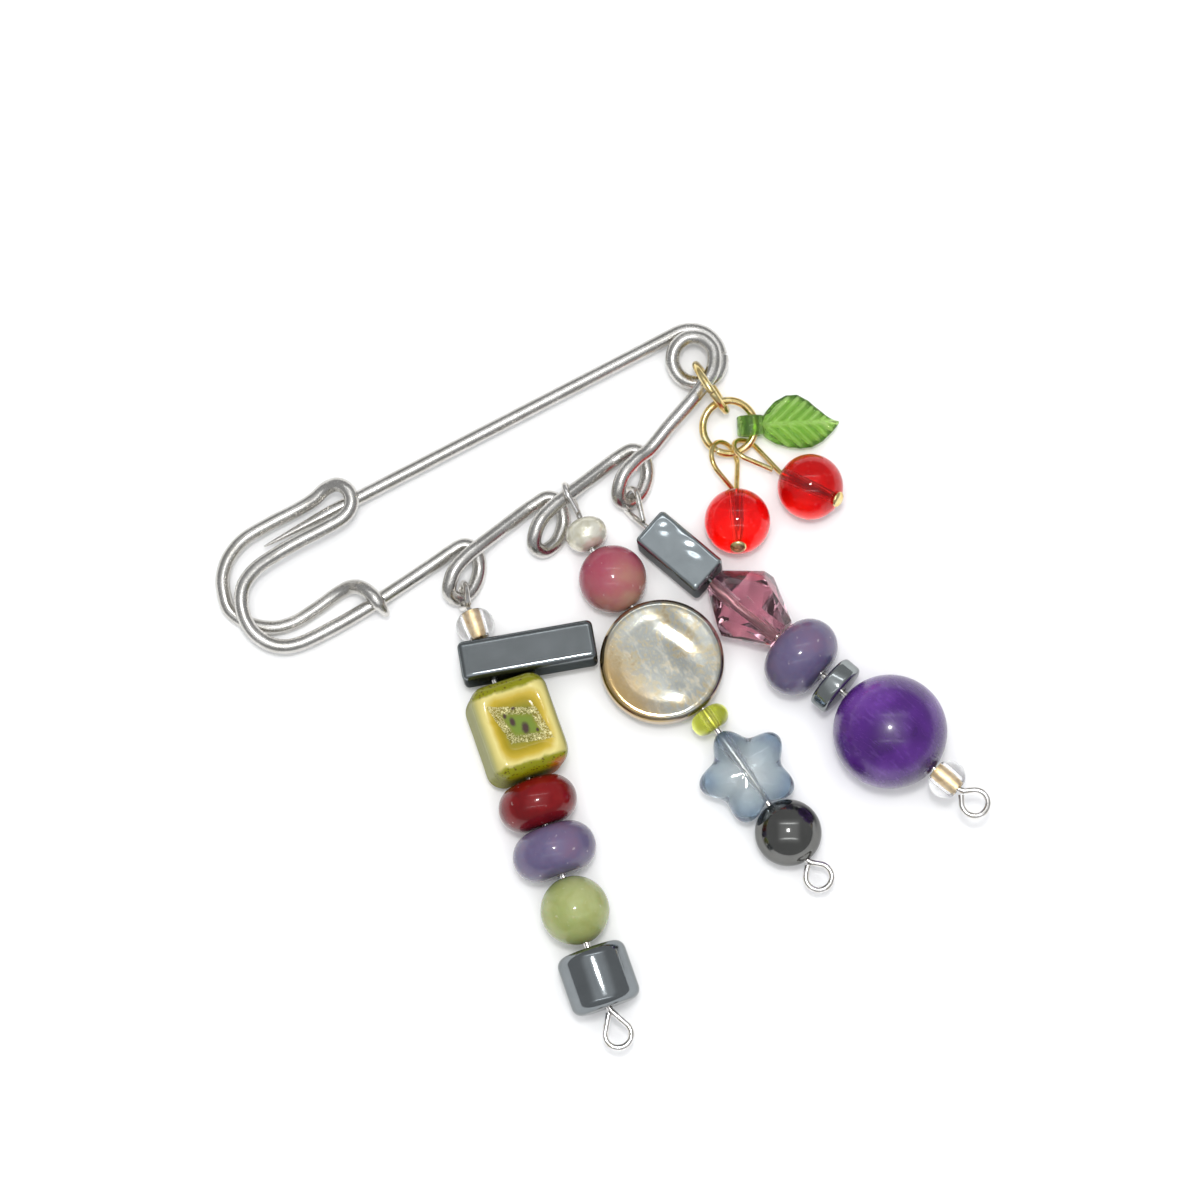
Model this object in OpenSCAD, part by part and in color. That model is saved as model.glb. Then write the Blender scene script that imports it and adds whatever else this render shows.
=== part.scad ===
// Beaded kilt-pin brooch: a bent wire pin with three strings of beads and a cherry charm.
// The brooch lies face up. The needle runs along X, the strings hang towards -Y, and the table is z = 0.

/* [Pin wire] */
// Diameter of the pin's wire
wire_d = 1.7; // [1.5:0.05:1.75]
// Height of the needle's axis above the table
needle_z = 2.4; // [2.4:0.05:2.5]
// Length of the needle from the coil to the root of the catch
needle_length = 52; // [50:0.5:53]
// Length of the needle's tapered point
point_length = 6; // [4:0.5:8]
// Distance between the three loops in the front bar
loop_pitch = 11.4; // [11.2:0.1:11.5]

/* [String wires] */
// Diameter of the wire that carries the beads
string_wire_d = 0.7; // [0.5:0.05:0.75]
// Radius of each eye, to the middle of its wire
eye_r = 1.5; // [1.45:0.05:1.55]
// Diameter of the holes drilled in the beads
bore_d = 1.1; // [1.0:0.05:1.2]

/* [First string] */
// Length of the long dark bar
bar_length = 15.8; // [12:0.2:15.8]
// Width and thickness of the long dark bar
bar_width = 4.7; // [4.2:0.1:4.8]
// Length of the glazed ceramic square along the string
ceramic_length = 10.9; // [9.8:0.1:11]
// Width of the glazed ceramic square
ceramic_width = 9.2; // [8.4:0.1:9.3]
// Diameter of the red rondelle
red_d = 9.2; // [8:0.1:9.6]
// Diameter of the violet rondelle on the first string
violet_1_d = 9.75; // [9:0.05:9.85]
// Diameter of the pale green round bead
green_d = 7.9; // [7:0.1:8.4]
// Diameter of the dark barrel bead
barrel_d = 8.1; // [7:0.1:8.6]

/* [Second string] */
// Diameter of the silver-coloured small bead
silver_bead_d = 4.9; // [4.4:0.1:5.4]
// Diameter of the pink round bead
pink_d = 7.9; // [7:0.05:7.95]
// Diameter of the flat silver disc
disc_d = 14.4; // [13.5:0.1:14.7]
// Distance from the star's middle to its tips
star_r = 5.7; // [5.2:0.1:6]
// Diameter of the dark round bead
dark_round_d = 7.7; // [7:0.1:7.9]

/* [Third string] */
// Length of the dark block
block_length = 9.5; // [8.5:0.1:9.7]
// Width of the dark block
block_width = 4.9; // [4.2:0.1:5]
// Diameter of the faceted plum crystal
crystal_d = 9.2; // [8.6:0.1:9.3]
// Diameter of the violet rondelle on the third string
violet_2_d = 9.6; // [8.8:0.1:10]
// Diameter of the large amethyst-coloured round bead
amethyst_d = 13.1; // [12:0.1:13.2]

/* [Cherry charm] */
// Diameter of the two red glass beads
cherry_d = 7.7; // [7:0.1:7.8]
// Outer diameter of the ring through the coil
coil_ring_d = 7.35; // [7.3:0.05:7.4]
// Outer diameter of the ring that carries the leaf and the cherries
charm_ring_d = 7.15; // [7.1:0.05:7.2]
// Diameter of the gold rings' wire
gold_wire_d = 0.9; // [0.8:0.05:0.95]
// Diameter of the head pins' wire
head_pin_d = 0.6; // [0.5:0.05:0.65]
// Length of the leaf's blade
leaf_length = 9.6; // [8:0.2:10.4]

/* [Hidden] */
$fn = 48;

wire_r = wire_d / 2;
string_r = string_wire_d / 2;
bore_r = bore_d / 2;
pin_sides = 8;
link_sides = 6;

// The coil's axis is the middle of the sketch. This moves the whole brooch over the origin.
sketch_middle = [-25.55, -30.12, 0];

// Colours
steel = "silver";
gold = "goldenrod";
hematite = "dimgray";
violet = "slategray";

// Vector helpers

function unit(v) = v / norm(v);
function across(v, d) = unit(v - (v * d) * d);
function total(v, n) = n <= 0 ? 0 : v[n - 1] + total(v, n - 1);
function heading_vector(heading, slope) =
    [cos(heading) * cos(slope), sin(heading) * cos(slope), sin(slope)];

// Curve through a list of points, with the given number of steps from one point to the next

function end_safe(p, i) = p[max(0, min(len(p) - 1, i))];
function between(a, b, c, d, t) =
    0.5 * (2 * b + (c - a) * t + (2 * a - 5 * b + 4 * c - d) * t * t
        + (3 * b - a - 3 * c + d) * t * t * t);
function smooth(p, steps) = concat(
    [for (i = [0 : len(p) - 2]) for (k = [0 : steps - 1])
        between(end_safe(p, i - 1), p[i], p[i + 1], end_safe(p, i + 2), k / steps)],
    [p[len(p) - 1]]);

// Round wire swept along a path. The radius may change from ring to ring.

function tangents(p) = [for (i = [0 : len(p) - 1]) unit(end_safe(p, i + 1) - end_safe(p, i - 1))];
function first_normal(t) = across(abs(t[0][2]) < 0.8 ? [0, 0, 1] : [1, 0, 0], t[0]);
function normals(t) = [
    for (i = 0, n = first_normal(t); i < len(t); i = i + 1, n = across(n, end_safe(t, i))) n];
function ring_faces(rings, sides) = [
    for (i = [0 : rings - 2]) for (j = [0 : sides - 1])
        let (a = i * sides + j, b = i * sides + (j + 1) % sides)
            each [[a, b, b + sides], [a, b + sides, a + sides]]];
function cap(first, sides, flip) = [for (j = [0 : sides - 1]) first + (flip ? sides - 1 - j : j)];

module loft(rings) {
    count = len(rings);
    sides = len(rings[0]);
    polyhedron(
        points = [for (ring = rings) each ring],
        faces = concat(ring_faces(count, sides), [cap(0, sides, true)],
            [cap((count - 1) * sides, sides, false)]),
        convexity = 10);
}

module swept_wire(path, radii, sides) {
    t = tangents(path);
    n = normals(t);
    loft([for (i = [0 : len(path) - 1])
        let (r = is_list(radii) ? end_safe(radii, i) : radii, b = cross(t[i], n[i]))
            [for (j = [0 : sides - 1]) let (a = -360 * j / sides)
                path[i] + r * (cos(a) * n[i] + sin(a) * b)]]);
}

// Teardrop eye: from the cut end round the circle to the neck, where the straight wire goes on.
// neck and middle are points, lean shows which way the circle's plane leans.

cut_from_neck = 0.45;
neck_round = 0.3;
end_eye_neck = 0.55;
long_eye_neck = 1.5;
eye_steps = 15;
function eye(neck, middle, lean, r, cut = cut_from_neck) =
    let (
        away = unit(middle - neck),
        side = across(lean, away),
        reach = 180 - acos(r / norm(middle - neck)),
        circle_points = [for (k = [0 : eye_steps]) let (a = reach - 2 * reach * k / eye_steps)
            middle + r * (cos(a) * away + sin(a) * side)])
    concat(
        [neck + cut * unit(circle_points[0] - neck)],
        circle_points,
        [neck + neck_round * unit(circle_points[eye_steps] - neck)]);

function flipped(p) = [for (i = [len(p) - 1 : -1 : 0]) p[i]];

// Route of the pin's wire

// One loop of the front bar, from the bar on its left to the bar on its right
loop_turn = [
    [0.6, 4.1, 2.0], [2.4, 4.35, 1.95], [4.0, 4.4, 1.9], [4.9, 3.6, 1.75], [4.95, 2.3, 1.25],
    [4.4, 1.0, 0.95], [3.3, -0.2, 1.0], [2.0, -0.9, 1.3], [0.6, -1.0, 1.9], [0, -0.1, 3.0],
    [0.7, 1.0, 3.7], [2.0, 2.0, 3.95], [4.0, 2.75, 3.8], [6.0, 3.2, 3.45]
];
// Places of the three loops' left ends
last_loop = [-15.6, -10.4, 0];
loop_step = [-loop_pitch, -0.4, 0];
loop_places = [for (i = [2, 1, 0]) last_loop + i * loop_step];

// The catch, measured from the needle's point: wrap round the bar, inner run, left bend,
// side beside the needle, hook over the needle, and the outer side back to the bar
catch_at = [-needle_length, 0, needle_z - 2.4];
over_needle = needle_z + wire_d + 0.3;
catch_route = [
    [6.0, -10.1, 2.4], [5.8, -9.1, 3.5], [5.5, -7.6, 3.9], [4.9, -6.1, 3.3], [3.8, -5.1, 2.1],
    [2, -4.9, 1.3], [-1, -5.3, 1.0], [-4, -5.5, 0.9], [-6.5, -4.9, 0.9], [-8.7, -3.2, 0.9],
    [-10, -0.8, 1.0], [-9.7, 1.4, 1.3], [-8.8, 3.3, 1.7], [-7, 4.9, 2.1], [-4.5, 5.8, 2.4],
    [-1, 6.0, 2.4], [2, 6.0, 2.4], [4.5, 6.1, 2.6], [6.4, 6.5, 3.1], [7.8, 6.2, 3.9]
];
hook_route = [
    [8.6, 5.1, 0.1], [8.6, 3.8, 0.15], [7.9, 2.8, 0.1], [6.5, 2.2, 0], [4, 2.1, 0], [1, 2.1, 0],
    [-2, 2.0, -0.1], [-5, 1.7, -0.5], [-7.2, 0.7, -0.9], [-8.5, -1.2, -1.3], [-8.9, -3.6, -1.5],
    [-8.3, -5.8, -1.8], [-6.8, -7.5, -2.0], [-4.5, -8.3, -2.2], [-0.5, -8.4, -2.4],
    [4, -8.2, -2.45], [9, -7.7, -2.45]
];

// The coil as rows of angle, radius and rise, from the front bar down to the needle's level
layer_rise = wire_d + 0.2;
coil_turn = [
    [-94, 3.35, 1], [-67, 2.8, 1], [-35, 2.45, 1], [0, 2.45, 0.98], [40, 2.5, 0.92],
    [80, 2.55, 0.8], [120, 2.5, 0.62], [160, 2.5, 0.42], [200, 2.55, 0.2], [235, 2.65, 0.05],
    [265, 2.9, 0], [295, 3.15, 0], [320, 3.3, 0], [342, 3.35, 0]
];
front_z = needle_z + layer_rise;
bar_to_coil = [[-6.5, -5.9, 3.8], [-2.8, -4.53, front_z], [-1.6, -4.0, front_z]];

pin_route = smooth(concat(
    [for (p = catch_route) catch_at + p],
    [for (p = hook_route) catch_at + p + [0, 0, over_needle]],
    [for (place = loop_places) for (p = loop_turn) place + p],
    bar_to_coil,
    [for (row = coil_turn)
        [row[1] * cos(row[0]), row[1] * sin(row[0]), needle_z + row[2] * layer_rise]]), 3);
// The tail of the catch is ground to a blunt taper
tail_radii = [0.35, 0.55, 0.7, 0.8];
pin_radii = [for (i = [0 : len(pin_route) - 1]) wire_r * (i < len(tail_radii) ? tail_radii[i] : 1)];

module pin_frame() {
    color(steel)
        swept_wire(pin_route, pin_radii, pin_sides);
}

// The needle: the lower layer of the coil, the straight shaft, ground a little thinner than the
// coil, and the point

coil_arc_middle = [-0.15, 0.4];
coil_arc_r = 3.5;
coil_arc_end = -19;
point_tip_r = 0.12;
shaft_overlap = 0.02;
shaft_r = wire_r - 0.02;
shaft_root = 0.5;
shaft_start = 4.5;
ground_length = 5.85;
ground_r = wire_r - 0.05;
point_past_catch = 3;

module needle() {
    shaft_length = needle_length - point_length + coil_arc_middle[0];
    color(steel)
        translate([coil_arc_middle[0], coil_arc_middle[1], needle_z]) {
            rotate([0, 0, coil_arc_end])
                rotate_extrude(angle = 90 - coil_arc_end)
                    translate([coil_arc_r, 0])
                        circle(wire_r);
            translate([0, coil_arc_r, 0])
                rotate([0, -90, 0])
                    rotate_extrude()
                        polygon([
                            [0, -shaft_overlap], [wire_r, -shaft_overlap], [wire_r, shaft_root],
                            [shaft_r, shaft_start], [shaft_r, shaft_length - ground_length],
                            [ground_r, shaft_length],
                            [point_tip_r, shaft_length + point_length + point_past_catch],
                            [0, shaft_length + point_length + point_past_catch]
                        ]);
        }
}

// The three strings. Each has a start, a heading and slope, and another pair past its bend.
// Each bead's row holds its length along the string and the gap before it.

star_notch_r = 0.72 * star_r;
string_1 = [[-37.28, -14.05, 4.1], -98.35, 5.26, 9.7, -98.7, 0];
string_2 = [[-20.8, -10.3, 3.8], -96.8, 2.5, 4.6, -83.8, 0];
string_3 = [[-14.6, -14.9, 3.45], -69.4, 4.8, 60, -69.4, 4.8];
lined_bead_length = 3.7;
red_length = 5.5;
violet_1_length = 5.8;
barrel_length = 7;
silver_bead_length = 3.8;
lime_length = 2.7;
crystal_length = 10;
violet_2_length = 6.4;
spacer_length = 2.3;
rows_1 = [
    [lined_bead_length, 0.45], [bar_width + 0.1, 0.3], [ceramic_length, 1.05],
    [red_length, 0.5], [violet_1_length, 0.2], [green_d, 0.3], [barrel_length, 0.7]
];
rows_2 = [
    [silver_bead_length, 0.6], [pink_d, 0.35], [disc_d, 0.15], [lime_length, 0.15],
    [star_r + star_notch_r, 0.5], [dark_round_d, 0.35]
];
rows_3 = [
    [block_length, 0.8], [crystal_length, 0.4], [violet_2_length, 0.3], [spacer_length, 0.85],
    [amethyst_d, 0.55], [lined_bead_length, 0.1]
];
end_gap = 0.25;

function row_sizes(rows) = [for (row = rows) row[0] + row[1]];
function bead_start(rows, i) = total(row_sizes(rows), i) + rows[i][1];
function station(rows, i) = bead_start(rows, i) + rows[i][0] / 2;
function string_length(rows) = total(row_sizes(rows), len(rows)) + end_gap;
function string_dir(string, s) = s < string[3]
    ? heading_vector(string[1], string[2]) : heading_vector(string[4], string[5]);
function string_point(string, s) =
    string[0] + min(s, string[3]) * heading_vector(string[1], string[2])
        + max(0, s - string[3]) * heading_vector(string[4], string[5]);

// Puts a piece on a string: its z runs along the wire, its y to the side and its -x up
module on_string(string, s) {
    past = s >= string[3];
    translate(string_point(string, s))
        rotate([0, 90 - string[past ? 5 : 2], string[past ? 4 : 1]])
            children();
}

module string_wire(string, rows, link_middle, link_lean, eye_neck = end_eye_neck) {
    length = string_length(rows);
    neck = string_point(string, length);
    end_dir = string_dir(string, length);
    bend = string[3] < length ? [string_point(string, string[3])] : [];
    side = across([end_dir[1], -end_dir[0], 0], end_dir);
    color(steel)
        swept_wire(concat(
            eye(string[0], link_middle, link_lean, eye_r),
            [string_point(string, neck_round)],
            bend,
            [string_point(string, length - neck_round)],
            flipped(eye(neck, neck + (eye_r + eye_neck) * end_dir, side, eye_r))),
            string_r, link_sides);
}

// Bead shapes, each drilled along z

module bore(length) {
    cylinder(h = length + 2, r = bore_r, center = true);
}

module round_bead(d) {
    difference() {
        sphere(d / 2);
        bore(d);
    }
}

// Half of a bead's cross-section: a straight middle and a fully rounded rim
module rounded_rim(d, length, hole_r) {
    flat = d / 2 - length / 2 - hole_r;
    if (flat > 0.01)
        translate([hole_r, -length / 2])
            square([flat, length]);
    intersection() {
        translate([d / 2 - length / 2, 0])
            circle(length / 2);
        translate([hole_r, -length])
            square([d, 2 * length]);
    }
}

module rondelle(d, length, hole_r = bore_r) {
    rotate_extrude()
        rounded_rim(d, length, hole_r);
}

// Cylinder with small round edges, drilled along z unless hole_r is 0
module soft_cylinder(d, length, edge, hole_r = bore_r) {
    rotate_extrude() {
        translate([hole_r, -length / 2])
            square([d / 2 - edge - hole_r, length]);
        translate([hole_r, edge - length / 2])
            square([d / 2 - hole_r, length - 2 * edge]);
        for (end = [-1, 1])
            translate([d / 2 - edge, end * (length / 2 - edge)])
                circle(edge);
    }
}

module soft_box(size, edge) {
    inner = [for (s = size) s / 2 - edge];
    hull()
        for (x = [-1, 1], y = [-1, 1], z = [-1, 1])
            translate([x * inner[0], y * inner[1], z * inner[2]])
                sphere(edge, $fn = 12);
}

lined_bead_d = 4.5;
lining_r = 1.0;
lining_gap = 0.05;
lining_inset = 0.2;

module lined_bead_shell() {
    color("white")
        rondelle(lined_bead_d, lined_bead_length, lining_r + lining_gap);
}

module lined_bead_core() {
    color(gold)
        difference() {
            cylinder(h = lined_bead_length - 2 * lining_inset, r = lining_r, center = true);
            bore(lined_bead_length);
        }
}

// First string

link_1 = [-37.1, -12.15, 1.78];

module dangle_1_wire() {
    string_wire(string_1, rows_1, link_1, [0.45, 0.4, 0.8], long_eye_neck);
}

module gold_lined_bead_1() {
    on_string(string_1, station(rows_1, 0))
        lined_bead_shell();
}

module gold_lining_1() {
    on_string(string_1, station(rows_1, 0))
        lined_bead_core();
}

// The bar is drilled near its left end and lies a little aslant
bar_swing = 9.8;
bar_hole_inset = 3.2;
bar_edge_r = 0.7;

module hematite_bar() {
    color(hematite)
        on_string(string_1, station(rows_1, 1))
            difference() {
                rotate([bar_swing, 0, 0])
                    translate([0, bar_length / 2 - bar_hole_inset, 0])
                        soft_box([bar_width, bar_length, bar_width], bar_edge_r);
                bore(bar_width + 2);
            }
}

// The ceramic square lies rolled a little about its wire, with a shallow dish in both faces. Its
// middle is a little to the wire's right.
ceramic_offset = 0.45;
ceramic_edge_r = 2;
ceramic_roll = -8;
dish_sphere_r = 9;
dish_depth = 0.55;

module dished_square() {
    difference() {
        soft_box([ceramic_width, ceramic_width, ceramic_length], ceramic_edge_r);
        for (face = [-1, 1])
            translate([face * (ceramic_width / 2 - dish_depth + dish_sphere_r), 0, 0])
                sphere(dish_sphere_r);
    }
}

module ceramic_square() {
    color("khaki")
        on_string(string_1, station(rows_1, 2))
            difference() {
                translate([0, ceramic_offset, 0])
                    rotate([0, 0, ceramic_roll])
                        dished_square();
                bore(ceramic_length);
            }
}

module red_rondelle() {
    color("firebrick")
        on_string(string_1, station(rows_1, 3))
            rondelle(red_d, red_length);
}

module violet_rondelle_1() {
    color(violet)
        on_string(string_1, station(rows_1, 4))
            rondelle(violet_1_d, violet_1_length);
}

module green_round() {
    color("darkseagreen")
        on_string(string_1, station(rows_1, 5))
            round_bead(green_d);
}

barrel_edge_r = 1.2;

module hematite_barrel() {
    color(hematite)
        on_string(string_1, station(rows_1, 6))
            soft_cylinder(barrel_d, barrel_length, barrel_edge_r);
}

// Second string

link_2 = [-20.6, -7.6, 3.35];

module dangle_2_wire() {
    string_wire(string_2, rows_2, link_2, [-0.2, 0, 1]);
}

module silver_bead() {
    color("lightgray")
        on_string(string_2, station(rows_2, 0))
            rondelle(silver_bead_d, silver_bead_length);
}

module pink_round() {
    color("palevioletred")
        on_string(string_2, station(rows_2, 1))
            round_bead(pink_d);
}

// The disc is drilled through its edge, and its middle is a little to the wire's left
disc_offset = -0.8;
disc_edge_r = 0.8;
disc_half_thickness = 1.5;

module silver_disc() {
    color("silver")
        on_string(string_2, station(rows_2, 2))
            difference() {
                translate([0, disc_offset, 0])
                    rotate([0, 90, 0])
                        soft_cylinder(disc_d, 2 * disc_half_thickness, disc_edge_r, 0);
                bore(disc_d);
            }
}

lime_d = 4.6;

module lime_bead() {
    color("yellowgreen")
        on_string(string_2, station(rows_2, 3))
            rondelle(lime_d, lime_length);
}

// The star's outline as a radius for each direction, one tip pointing back up the string
star_steps = 50;
star_layers = 8;
star_half_thickness = 2.5;
function star_reach(a) = star_notch_r + (star_r - star_notch_r) * (1 + cos(5 * a)) / 2;

module star_body() {
    loft([for (k = [0 : star_layers])
        let (lift = -90 + (k * 180) / star_layers, slim = max(0.05, pow(cos(lift), 0.55)))
            [for (j = [0 : star_steps - 1]) let (a = 360 * j / star_steps)
                [-star_half_thickness * sin(lift), slim * star_reach(a) * sin(a),
                    -slim * star_reach(a) * cos(a)]]]);
}

module glass_star() {
    color("lightsteelblue")
        on_string(string_2, bead_start(rows_2, 4) + star_r)
            difference() {
                star_body();
                bore(2 * star_r);
            }
}

module hematite_round() {
    color(hematite)
        on_string(string_2, station(rows_2, 5))
            round_bead(dark_round_d);
}

// Third string

link_3 = [-14.4, -11.4, 1.65];

module dangle_3_wire() {
    string_wire(string_3, rows_3, link_3, [0.6, 0.3, 0.75]);
}

block_edge_r = 0.6;

module hematite_block() {
    color(hematite)
        on_string(string_3, station(rows_3, 0))
            difference() {
                soft_box([block_width, block_width, block_length], block_edge_r);
                bore(block_length);
            }
}

// Faceted bicone: flat ends round the hole, long facets and a narrow waist above the middle.
// Rows of place along the half length and share of the radius.
crystal_sides = 8;
crystal_offset = 0.5;
crystal_rings = [[-1, 0.33], [-0.22, 0.98], [-0.02, 1], [1, 0.44]];

module plum_crystal() {
    color("thistle")
        on_string(string_3, station(rows_3, 1))
            difference() {
                translate([0, crystal_offset, 0])
                    loft([for (k = [0 : len(crystal_rings) - 1])
                        [for (j = [0 : crystal_sides - 1])
                            let (row = crystal_rings[k],
                                a = -360 * (j + (k % 2) / 2) / crystal_sides,
                                r = row[1] * crystal_d / 2)
                                [r * cos(a), r * sin(a), row[0] * crystal_length / 2]]]);
                bore(crystal_d);
            }
}

module violet_rondelle_2() {
    color(violet)
        on_string(string_3, station(rows_3, 2))
            rondelle(violet_2_d, violet_2_length);
}

spacer_d = 6.5;
spacer_edge_r = 0.5;

module hematite_spacer() {
    color(hematite)
        on_string(string_3, station(rows_3, 3))
            soft_cylinder(spacer_d, spacer_length, spacer_edge_r);
}

module amethyst_round() {
    color("indigo")
        on_string(string_3, station(rows_3, 4))
            round_bead(amethyst_d);
}

module gold_lined_bead_2() {
    on_string(string_3, station(rows_3, 5))
        lined_bead_shell();
}

module gold_lining_2() {
    on_string(string_3, station(rows_3, 5))
        lined_bead_core();
}

// Cherry charm: two gold rings, a leaf and two red beads on head pins

gold_r = gold_wire_d / 2;
coil_ring_r = coil_ring_d / 2 - gold_r;
charm_ring_r = charm_ring_d / 2 - gold_r;
coil_ring_at = [0.1, -4.1, 3.7];
charm_ring_at = [-0.1, -9.05, 2.4];
charm_ring_tilt = 16;

module gold_ring(r) {
    rotate_extrude()
        translate([r, 0])
            circle(gold_r, $fn = 24);
}

module coil_ring() {
    color(gold)
        translate(coil_ring_at)
            rotate([0, 0, -86])
                rotate([102, 0, 0])
                    gold_ring(coil_ring_r);
}

module charm_ring() {
    color(gold)
        translate(charm_ring_at)
            rotate([charm_ring_tilt, 0, 0])
                gold_ring(charm_ring_r);
}

// The leaf: a drilled barrel on the ring and a ribbed blade
leaf_heading = -25;
leaf_on_ring = -24;
leaf_inward = 0.5;
leaf_barrel_r = 1.65;
leaf_barrel_length = 2.4;
leaf_roll = 8;
leaf_hole_r = 1.1;
leaf_sections = 14;
leaf_points = 12;
leaf_at = charm_ring_at + charm_ring_r * [cos(leaf_on_ring),
    sin(leaf_on_ring) * cos(charm_ring_tilt), sin(leaf_on_ring) * sin(charm_ring_tilt)];
// Each side's edge: its widest reach, where along the leaf that is, and how it swells from the
// root and narrows to the tip
leaf_sides = [[3.5, 0.427, 0.9, 1.76], [3.05, 0.542, 0.36, 0.9]];
function leaf_reach(t, side) =
    side[0] * pow(sin(180 * pow(t, ln(0.5) / ln(side[1]))), t < side[1] ? side[2] : side[3]);
function leaf_half_height(t) = 1.3 - 0.75 * t;

module leaf_blade() {
    loft([for (k = [0 : leaf_sections])
        let (t = 0.06 + 0.92 * k / leaf_sections, h = leaf_half_height(t))
            [for (j = [0 : leaf_points - 1])
                let (a = -360 * j / leaf_points, w = leaf_reach(t, leaf_sides[cos(a) > 0 ? 0 : 1]),
                    rib = 1 + 0.25 * sin(180 * k / leaf_sections) * pow(abs(sin(a)), 6))
                    [leaf_length * t + 1, w * cos(a), h * rib * sin(a)]]]);
}

module glass_leaf() {
    color("green")
        translate(leaf_at)
            rotate([leaf_roll, 0, leaf_heading])
                translate([-leaf_inward, 0, 0])
                    difference() {
                        union() {
                            rotate([90, 0, 0])
                                cylinder(h = leaf_barrel_length, r = leaf_barrel_r, center = true);
                            leaf_blade();
                        }
                        rotate([90, 0, 0])
                            cylinder(h = 2 * leaf_sides[0][0], r = leaf_hole_r, center = true);
                    }
}

// The cherries: middle of each bead, heading and rise of its pin, middle and radius of its eye,
// how flat the eye lies, and how far from the neck its wire is cut
cherry_1 = [[-4.8, -19.7, 3.9], -118, 31, [-2.4, -12.2, 2.1], 2.2, 1, 0.45];
cherry_2 = [[4.7, -20.1, 3.9], -59.3, 26, [0.55, -12.4, 1.8], 1.7, 1, 1.1];
pin_head_r = 0.95;
pin_head_thickness = 0.45;
pin_neck = 0.5;
pin_head_gap = 0.05;
pin_head_overlap = 0.15;
function cherry_dir(cherry) = heading_vector(cherry[1], cherry[2]);

module cherry_pin(cherry) {
    dir = cherry_dir(cherry);
    neck = cherry[0] - (cherry_d / 2 + pin_neck) * dir;
    head = cherry[0] + (cherry_d / 2 + pin_head_gap) * dir;
    away = unit(cherry[3] - neck);
    lean = cherry[5] * cross([0, 0, 1], away) + [0, 0, 1];
    color(gold) {
        swept_wire(concat(
            eye(neck, cherry[3], lean, cherry[4], cherry[6]),
            [neck + neck_round * dir, cherry[0], head + pin_head_overlap * dir]),
            head_pin_d / 2, link_sides);
        translate(head)
            rotate([0, 90 - cherry[2], cherry[1]])
                cylinder(h = pin_head_thickness, r = pin_head_r);
    }
}

module cherry_bead(cherry) {
    color("red")
        translate(cherry[0])
            rotate([0, 90 - cherry[2], cherry[1]])
                round_bead(cherry_d);
}

module cherry_pin_1() {
    cherry_pin(cherry_1);
}

module cherry_bead_1() {
    cherry_bead(cherry_1);
}

module cherry_pin_2() {
    cherry_pin(cherry_2);
}

module cherry_bead_2() {
    cherry_bead(cherry_2);
}

// Moves a piece from the sketch around the coil to the brooch's own origin
module placed() {
    translate(-sketch_middle)
        children();
}

placed() pin_frame();
placed() needle();
placed() dangle_1_wire();
placed() gold_lined_bead_1();
placed() gold_lining_1();
placed() hematite_bar();
placed() ceramic_square();
placed() red_rondelle();
placed() violet_rondelle_1();
placed() green_round();
placed() hematite_barrel();
placed() dangle_2_wire();
placed() silver_bead();
placed() pink_round();
placed() silver_disc();
placed() lime_bead();
placed() glass_star();
placed() hematite_round();
placed() dangle_3_wire();
placed() hematite_block();
placed() plum_crystal();
placed() violet_rondelle_2();
placed() hematite_spacer();
placed() amethyst_round();
placed() gold_lined_bead_2();
placed() gold_lining_2();
placed() coil_ring();
placed() charm_ring();
placed() glass_leaf();
placed() cherry_pin_1();
placed() cherry_bead_1();
placed() cherry_pin_2();
placed() cherry_bead_2();
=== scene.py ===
"""Looks of the beaded kilt-pin brooch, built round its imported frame.

Lengths in this file are millimetres in the maker's sketch, where the coil's axis is the
middle and the table is z = 0. They become metres when a mesh is made.
"""
from itertools import product
from math import acos, cos, degrees, exp, hypot, inf, log, pi, radians, sin

import bmesh
import bpy
from mathutils import Matrix, Vector, noise


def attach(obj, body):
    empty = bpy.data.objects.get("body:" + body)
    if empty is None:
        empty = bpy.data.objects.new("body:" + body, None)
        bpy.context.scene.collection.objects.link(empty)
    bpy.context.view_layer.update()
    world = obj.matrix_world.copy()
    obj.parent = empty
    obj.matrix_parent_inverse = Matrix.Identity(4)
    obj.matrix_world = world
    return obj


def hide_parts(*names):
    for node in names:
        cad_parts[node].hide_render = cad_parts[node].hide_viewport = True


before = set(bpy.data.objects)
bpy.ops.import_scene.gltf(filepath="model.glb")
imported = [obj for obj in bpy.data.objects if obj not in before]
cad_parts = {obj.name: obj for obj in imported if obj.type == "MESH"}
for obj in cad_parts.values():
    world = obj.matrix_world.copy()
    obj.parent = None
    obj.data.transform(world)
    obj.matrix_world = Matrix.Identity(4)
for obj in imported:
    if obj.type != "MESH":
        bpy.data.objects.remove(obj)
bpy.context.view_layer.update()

MM = 0.001
UP = Vector((0, 0, 1))
SKETCH_MIDDLE = Vector((-25.55, -30.12, 0))
CAMERA_TURN = radians(28)


def add_object(name, data):
    made = bpy.data.objects.new(name, data)
    bpy.context.scene.collection.objects.link(made)
    return made


# Camera, at the photograph's angle

def aim_camera():
    elevation, distance = radians(80), 392
    look_at = Vector((2.5, 10.3, 0))
    right = Vector((cos(CAMERA_TURN), -sin(CAMERA_TURN), 0))
    up_the_table = Vector((sin(CAMERA_TURN), cos(CAMERA_TURN), 0))
    back = sin(elevation) * UP - cos(elevation) * up_the_table
    data = bpy.data.cameras.new("camera")
    data.lens, data.sensor_width = 100, 36
    data.clip_start, data.clip_end = 0.01, 20
    camera = add_object("camera", data)
    axes = Matrix((right, back.cross(right), back)).transposed().to_4x4()
    camera.matrix_world = Matrix.Translation((look_at + distance * back) * MM) @ axes
    bpy.context.scene.camera = camera


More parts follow.
